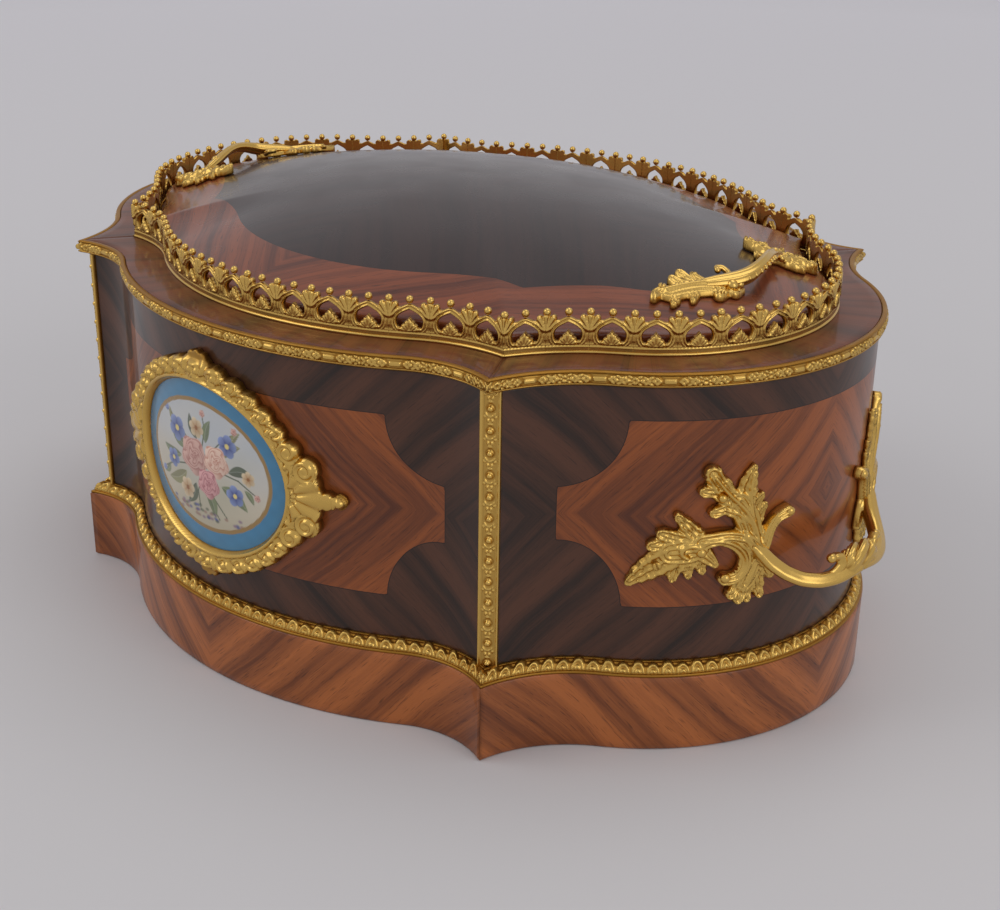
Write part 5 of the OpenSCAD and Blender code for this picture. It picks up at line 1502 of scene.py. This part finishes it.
zinc, t = new_material("zinc")
spangle, cloud = t.add("TexVoronoi", out=1, Vector=t.own(), Scale=90.0), t.noise(t.own(), 24.0, 3.0)
shade = t.plus(t.times(cloud, 0.7), t.times(spangle, 0.3))
t.give("BSDF_PRINCIPLED", Base_Color=t.mix(shade, tone(112, 115, 118), tone(178, 181, 184)),
       Metallic=0.85, Roughness=t.ramp(cloud, 0.3, 0.7, 0.38, 0.58))
carcase = plain_wood("carcase_wood", (172, 132, 88), (126, 90, 56))
lipping = plain_wood("lid_lipping", (112, 62, 42), (76, 40, 30))
FINISHES = {carcase: ("base_board", "corner_blocks", "glue_blocks", "lid_battens"),
            lipping: ("lid_frame",),
            zinc: ("liner", "liner_lugs", "liner_bail_right", "liner_bail_left")}
for finish, names in FINISHES.items():
    for name in names:
        frame["nodes"][name].data.materials.clear()
        frame["nodes"][name].data.materials.append(finish)
shown = {o.get("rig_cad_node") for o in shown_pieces()} - {None}
print("packed nodes shown as they are:", sorted(shown))

# %% [markdown]
# ## Camera, floor and light
# The photograph was taken from the right of the front, a little above the gallery. Its light is
# large and soft, so the gilding shows broad pale bands and the woods show a faint sheen. One
# hard lamp would give sharp shadows that the photograph doesn't have.

# %% Camera
LENS, SENSOR, SHIFT_X, SHIFT_Y = 61.35, 36.0, 0.05, 0.065
TURN, TILT, ROLL = 44.955, 24.894, 0.185
CAMERA_AT = (0.56364, -0.57667, 0.39571)


def stand(axes, where):
    """The matrix of an object with these three axes at a place."""
    rows = np.eye(4)
    rows[:3, :3], rows[:3, 3] = np.array(axes).T, where
    return Matrix(rows.tolist())


def placed(name, data, axes, where):
    """A new object for a camera or lamp, stood at its place."""
    obj = bpy.data.objects.new(name, data)
    bpy.context.scene.collection.objects.link(obj)
    obj.matrix_world = stand(axes, where)
    return obj


turn, tilt, roll = (math.radians(a) for a in (TURN, TILT, ROLL))
back = np.array([math.sin(turn) * math.cos(tilt), -math.cos(turn) * math.cos(tilt), math.sin(tilt)])
right = np.cross(-back, [0, 0, 1])
right /= np.linalg.norm(right)
up = np.cross(right, -back)
axes = (right * math.cos(roll) + up * math.sin(roll), up * math.cos(roll) - right * math.sin(roll),
        back)
camera = placed("camera", bpy.data.cameras.new("camera"), axes, CAMERA_AT)
camera.data.lens, camera.data.sensor_width = LENS, SENSOR
camera.data.shift_x, camera.data.shift_y = SHIFT_X, SHIFT_Y
bpy.context.scene.camera = camera

# %% Floor, backdrop and lamps
AIM, REACH, FLOOR_Z = (0, 0, 0.1), 12.0, -0.0002


def soft_lamp(name, where, size, power):
    """A square lamp that looks at the middle of the part."""
    lamp = bpy.data.lights.new(name, "AREA")
    lamp.shape, lamp.size, lamp.size_y, lamp.energy = "RECTANGLE", size, size, power
    z = np.array(where) - np.array(AIM)
    z /= np.linalg.norm(z)
    x = np.cross([0, 0, 1], z)
    x /= np.linalg.norm(x)
    placed(name, lamp, (x, np.cross(z, x), z), where)


floor_finish, t = new_material("floor")
away = t.add("VectorMath", out=1, props={"operation": "LENGTH"}, i0=t.own())
# Painted light: the floor's colour grows paler away from the middle, so the far floor looks more
# brightly lit than the floor near the part.
floor_painted_light = t.mix(t.ramp(away, 0.45, 2.0), tone(222, 220, 220), tone(252, 250, 252))
t.give("BSDF_PRINCIPLED", Base_Color=floor_painted_light, Roughness=0.9, Specular_IOR_Level=0.1)
floor = new_object("floor", [(REACH * x, REACH * y, FLOOR_Z) for x, y in
                             ((-1, -1), (1, -1), (1, 1), (-1, 1))],
                   [np.arange(4)[None]], closed=False)
floor.data.materials.append(floor_finish)

world = bpy.data.worlds.new("studio")
world.use_nodes = True
bpy.context.scene.world = world
w = Tree(world.node_tree)
seen = w.math("MAXIMUM", w.add("LightPath", out=0), w.add("LightPath", out=3))
w.give("BACKGROUND", i0=w.mix(seen, tone(178, 177, 181), tone(196, 194, 197)), i1=1.0)
soft_lamp("key", (-0.9, -1.3, 1.5), 1.2, 6.0)
soft_lamp("side", (1.6, -0.2, 1.0), 1.0, 4.0)
soft_lamp("top", (0.1, 0.5, 1.9), 1.2, 5.0)
bpy.context.scene.view_settings.view_transform = "Standard"
print("lamps:", sorted(lamp.name for lamp in bpy.data.lights))
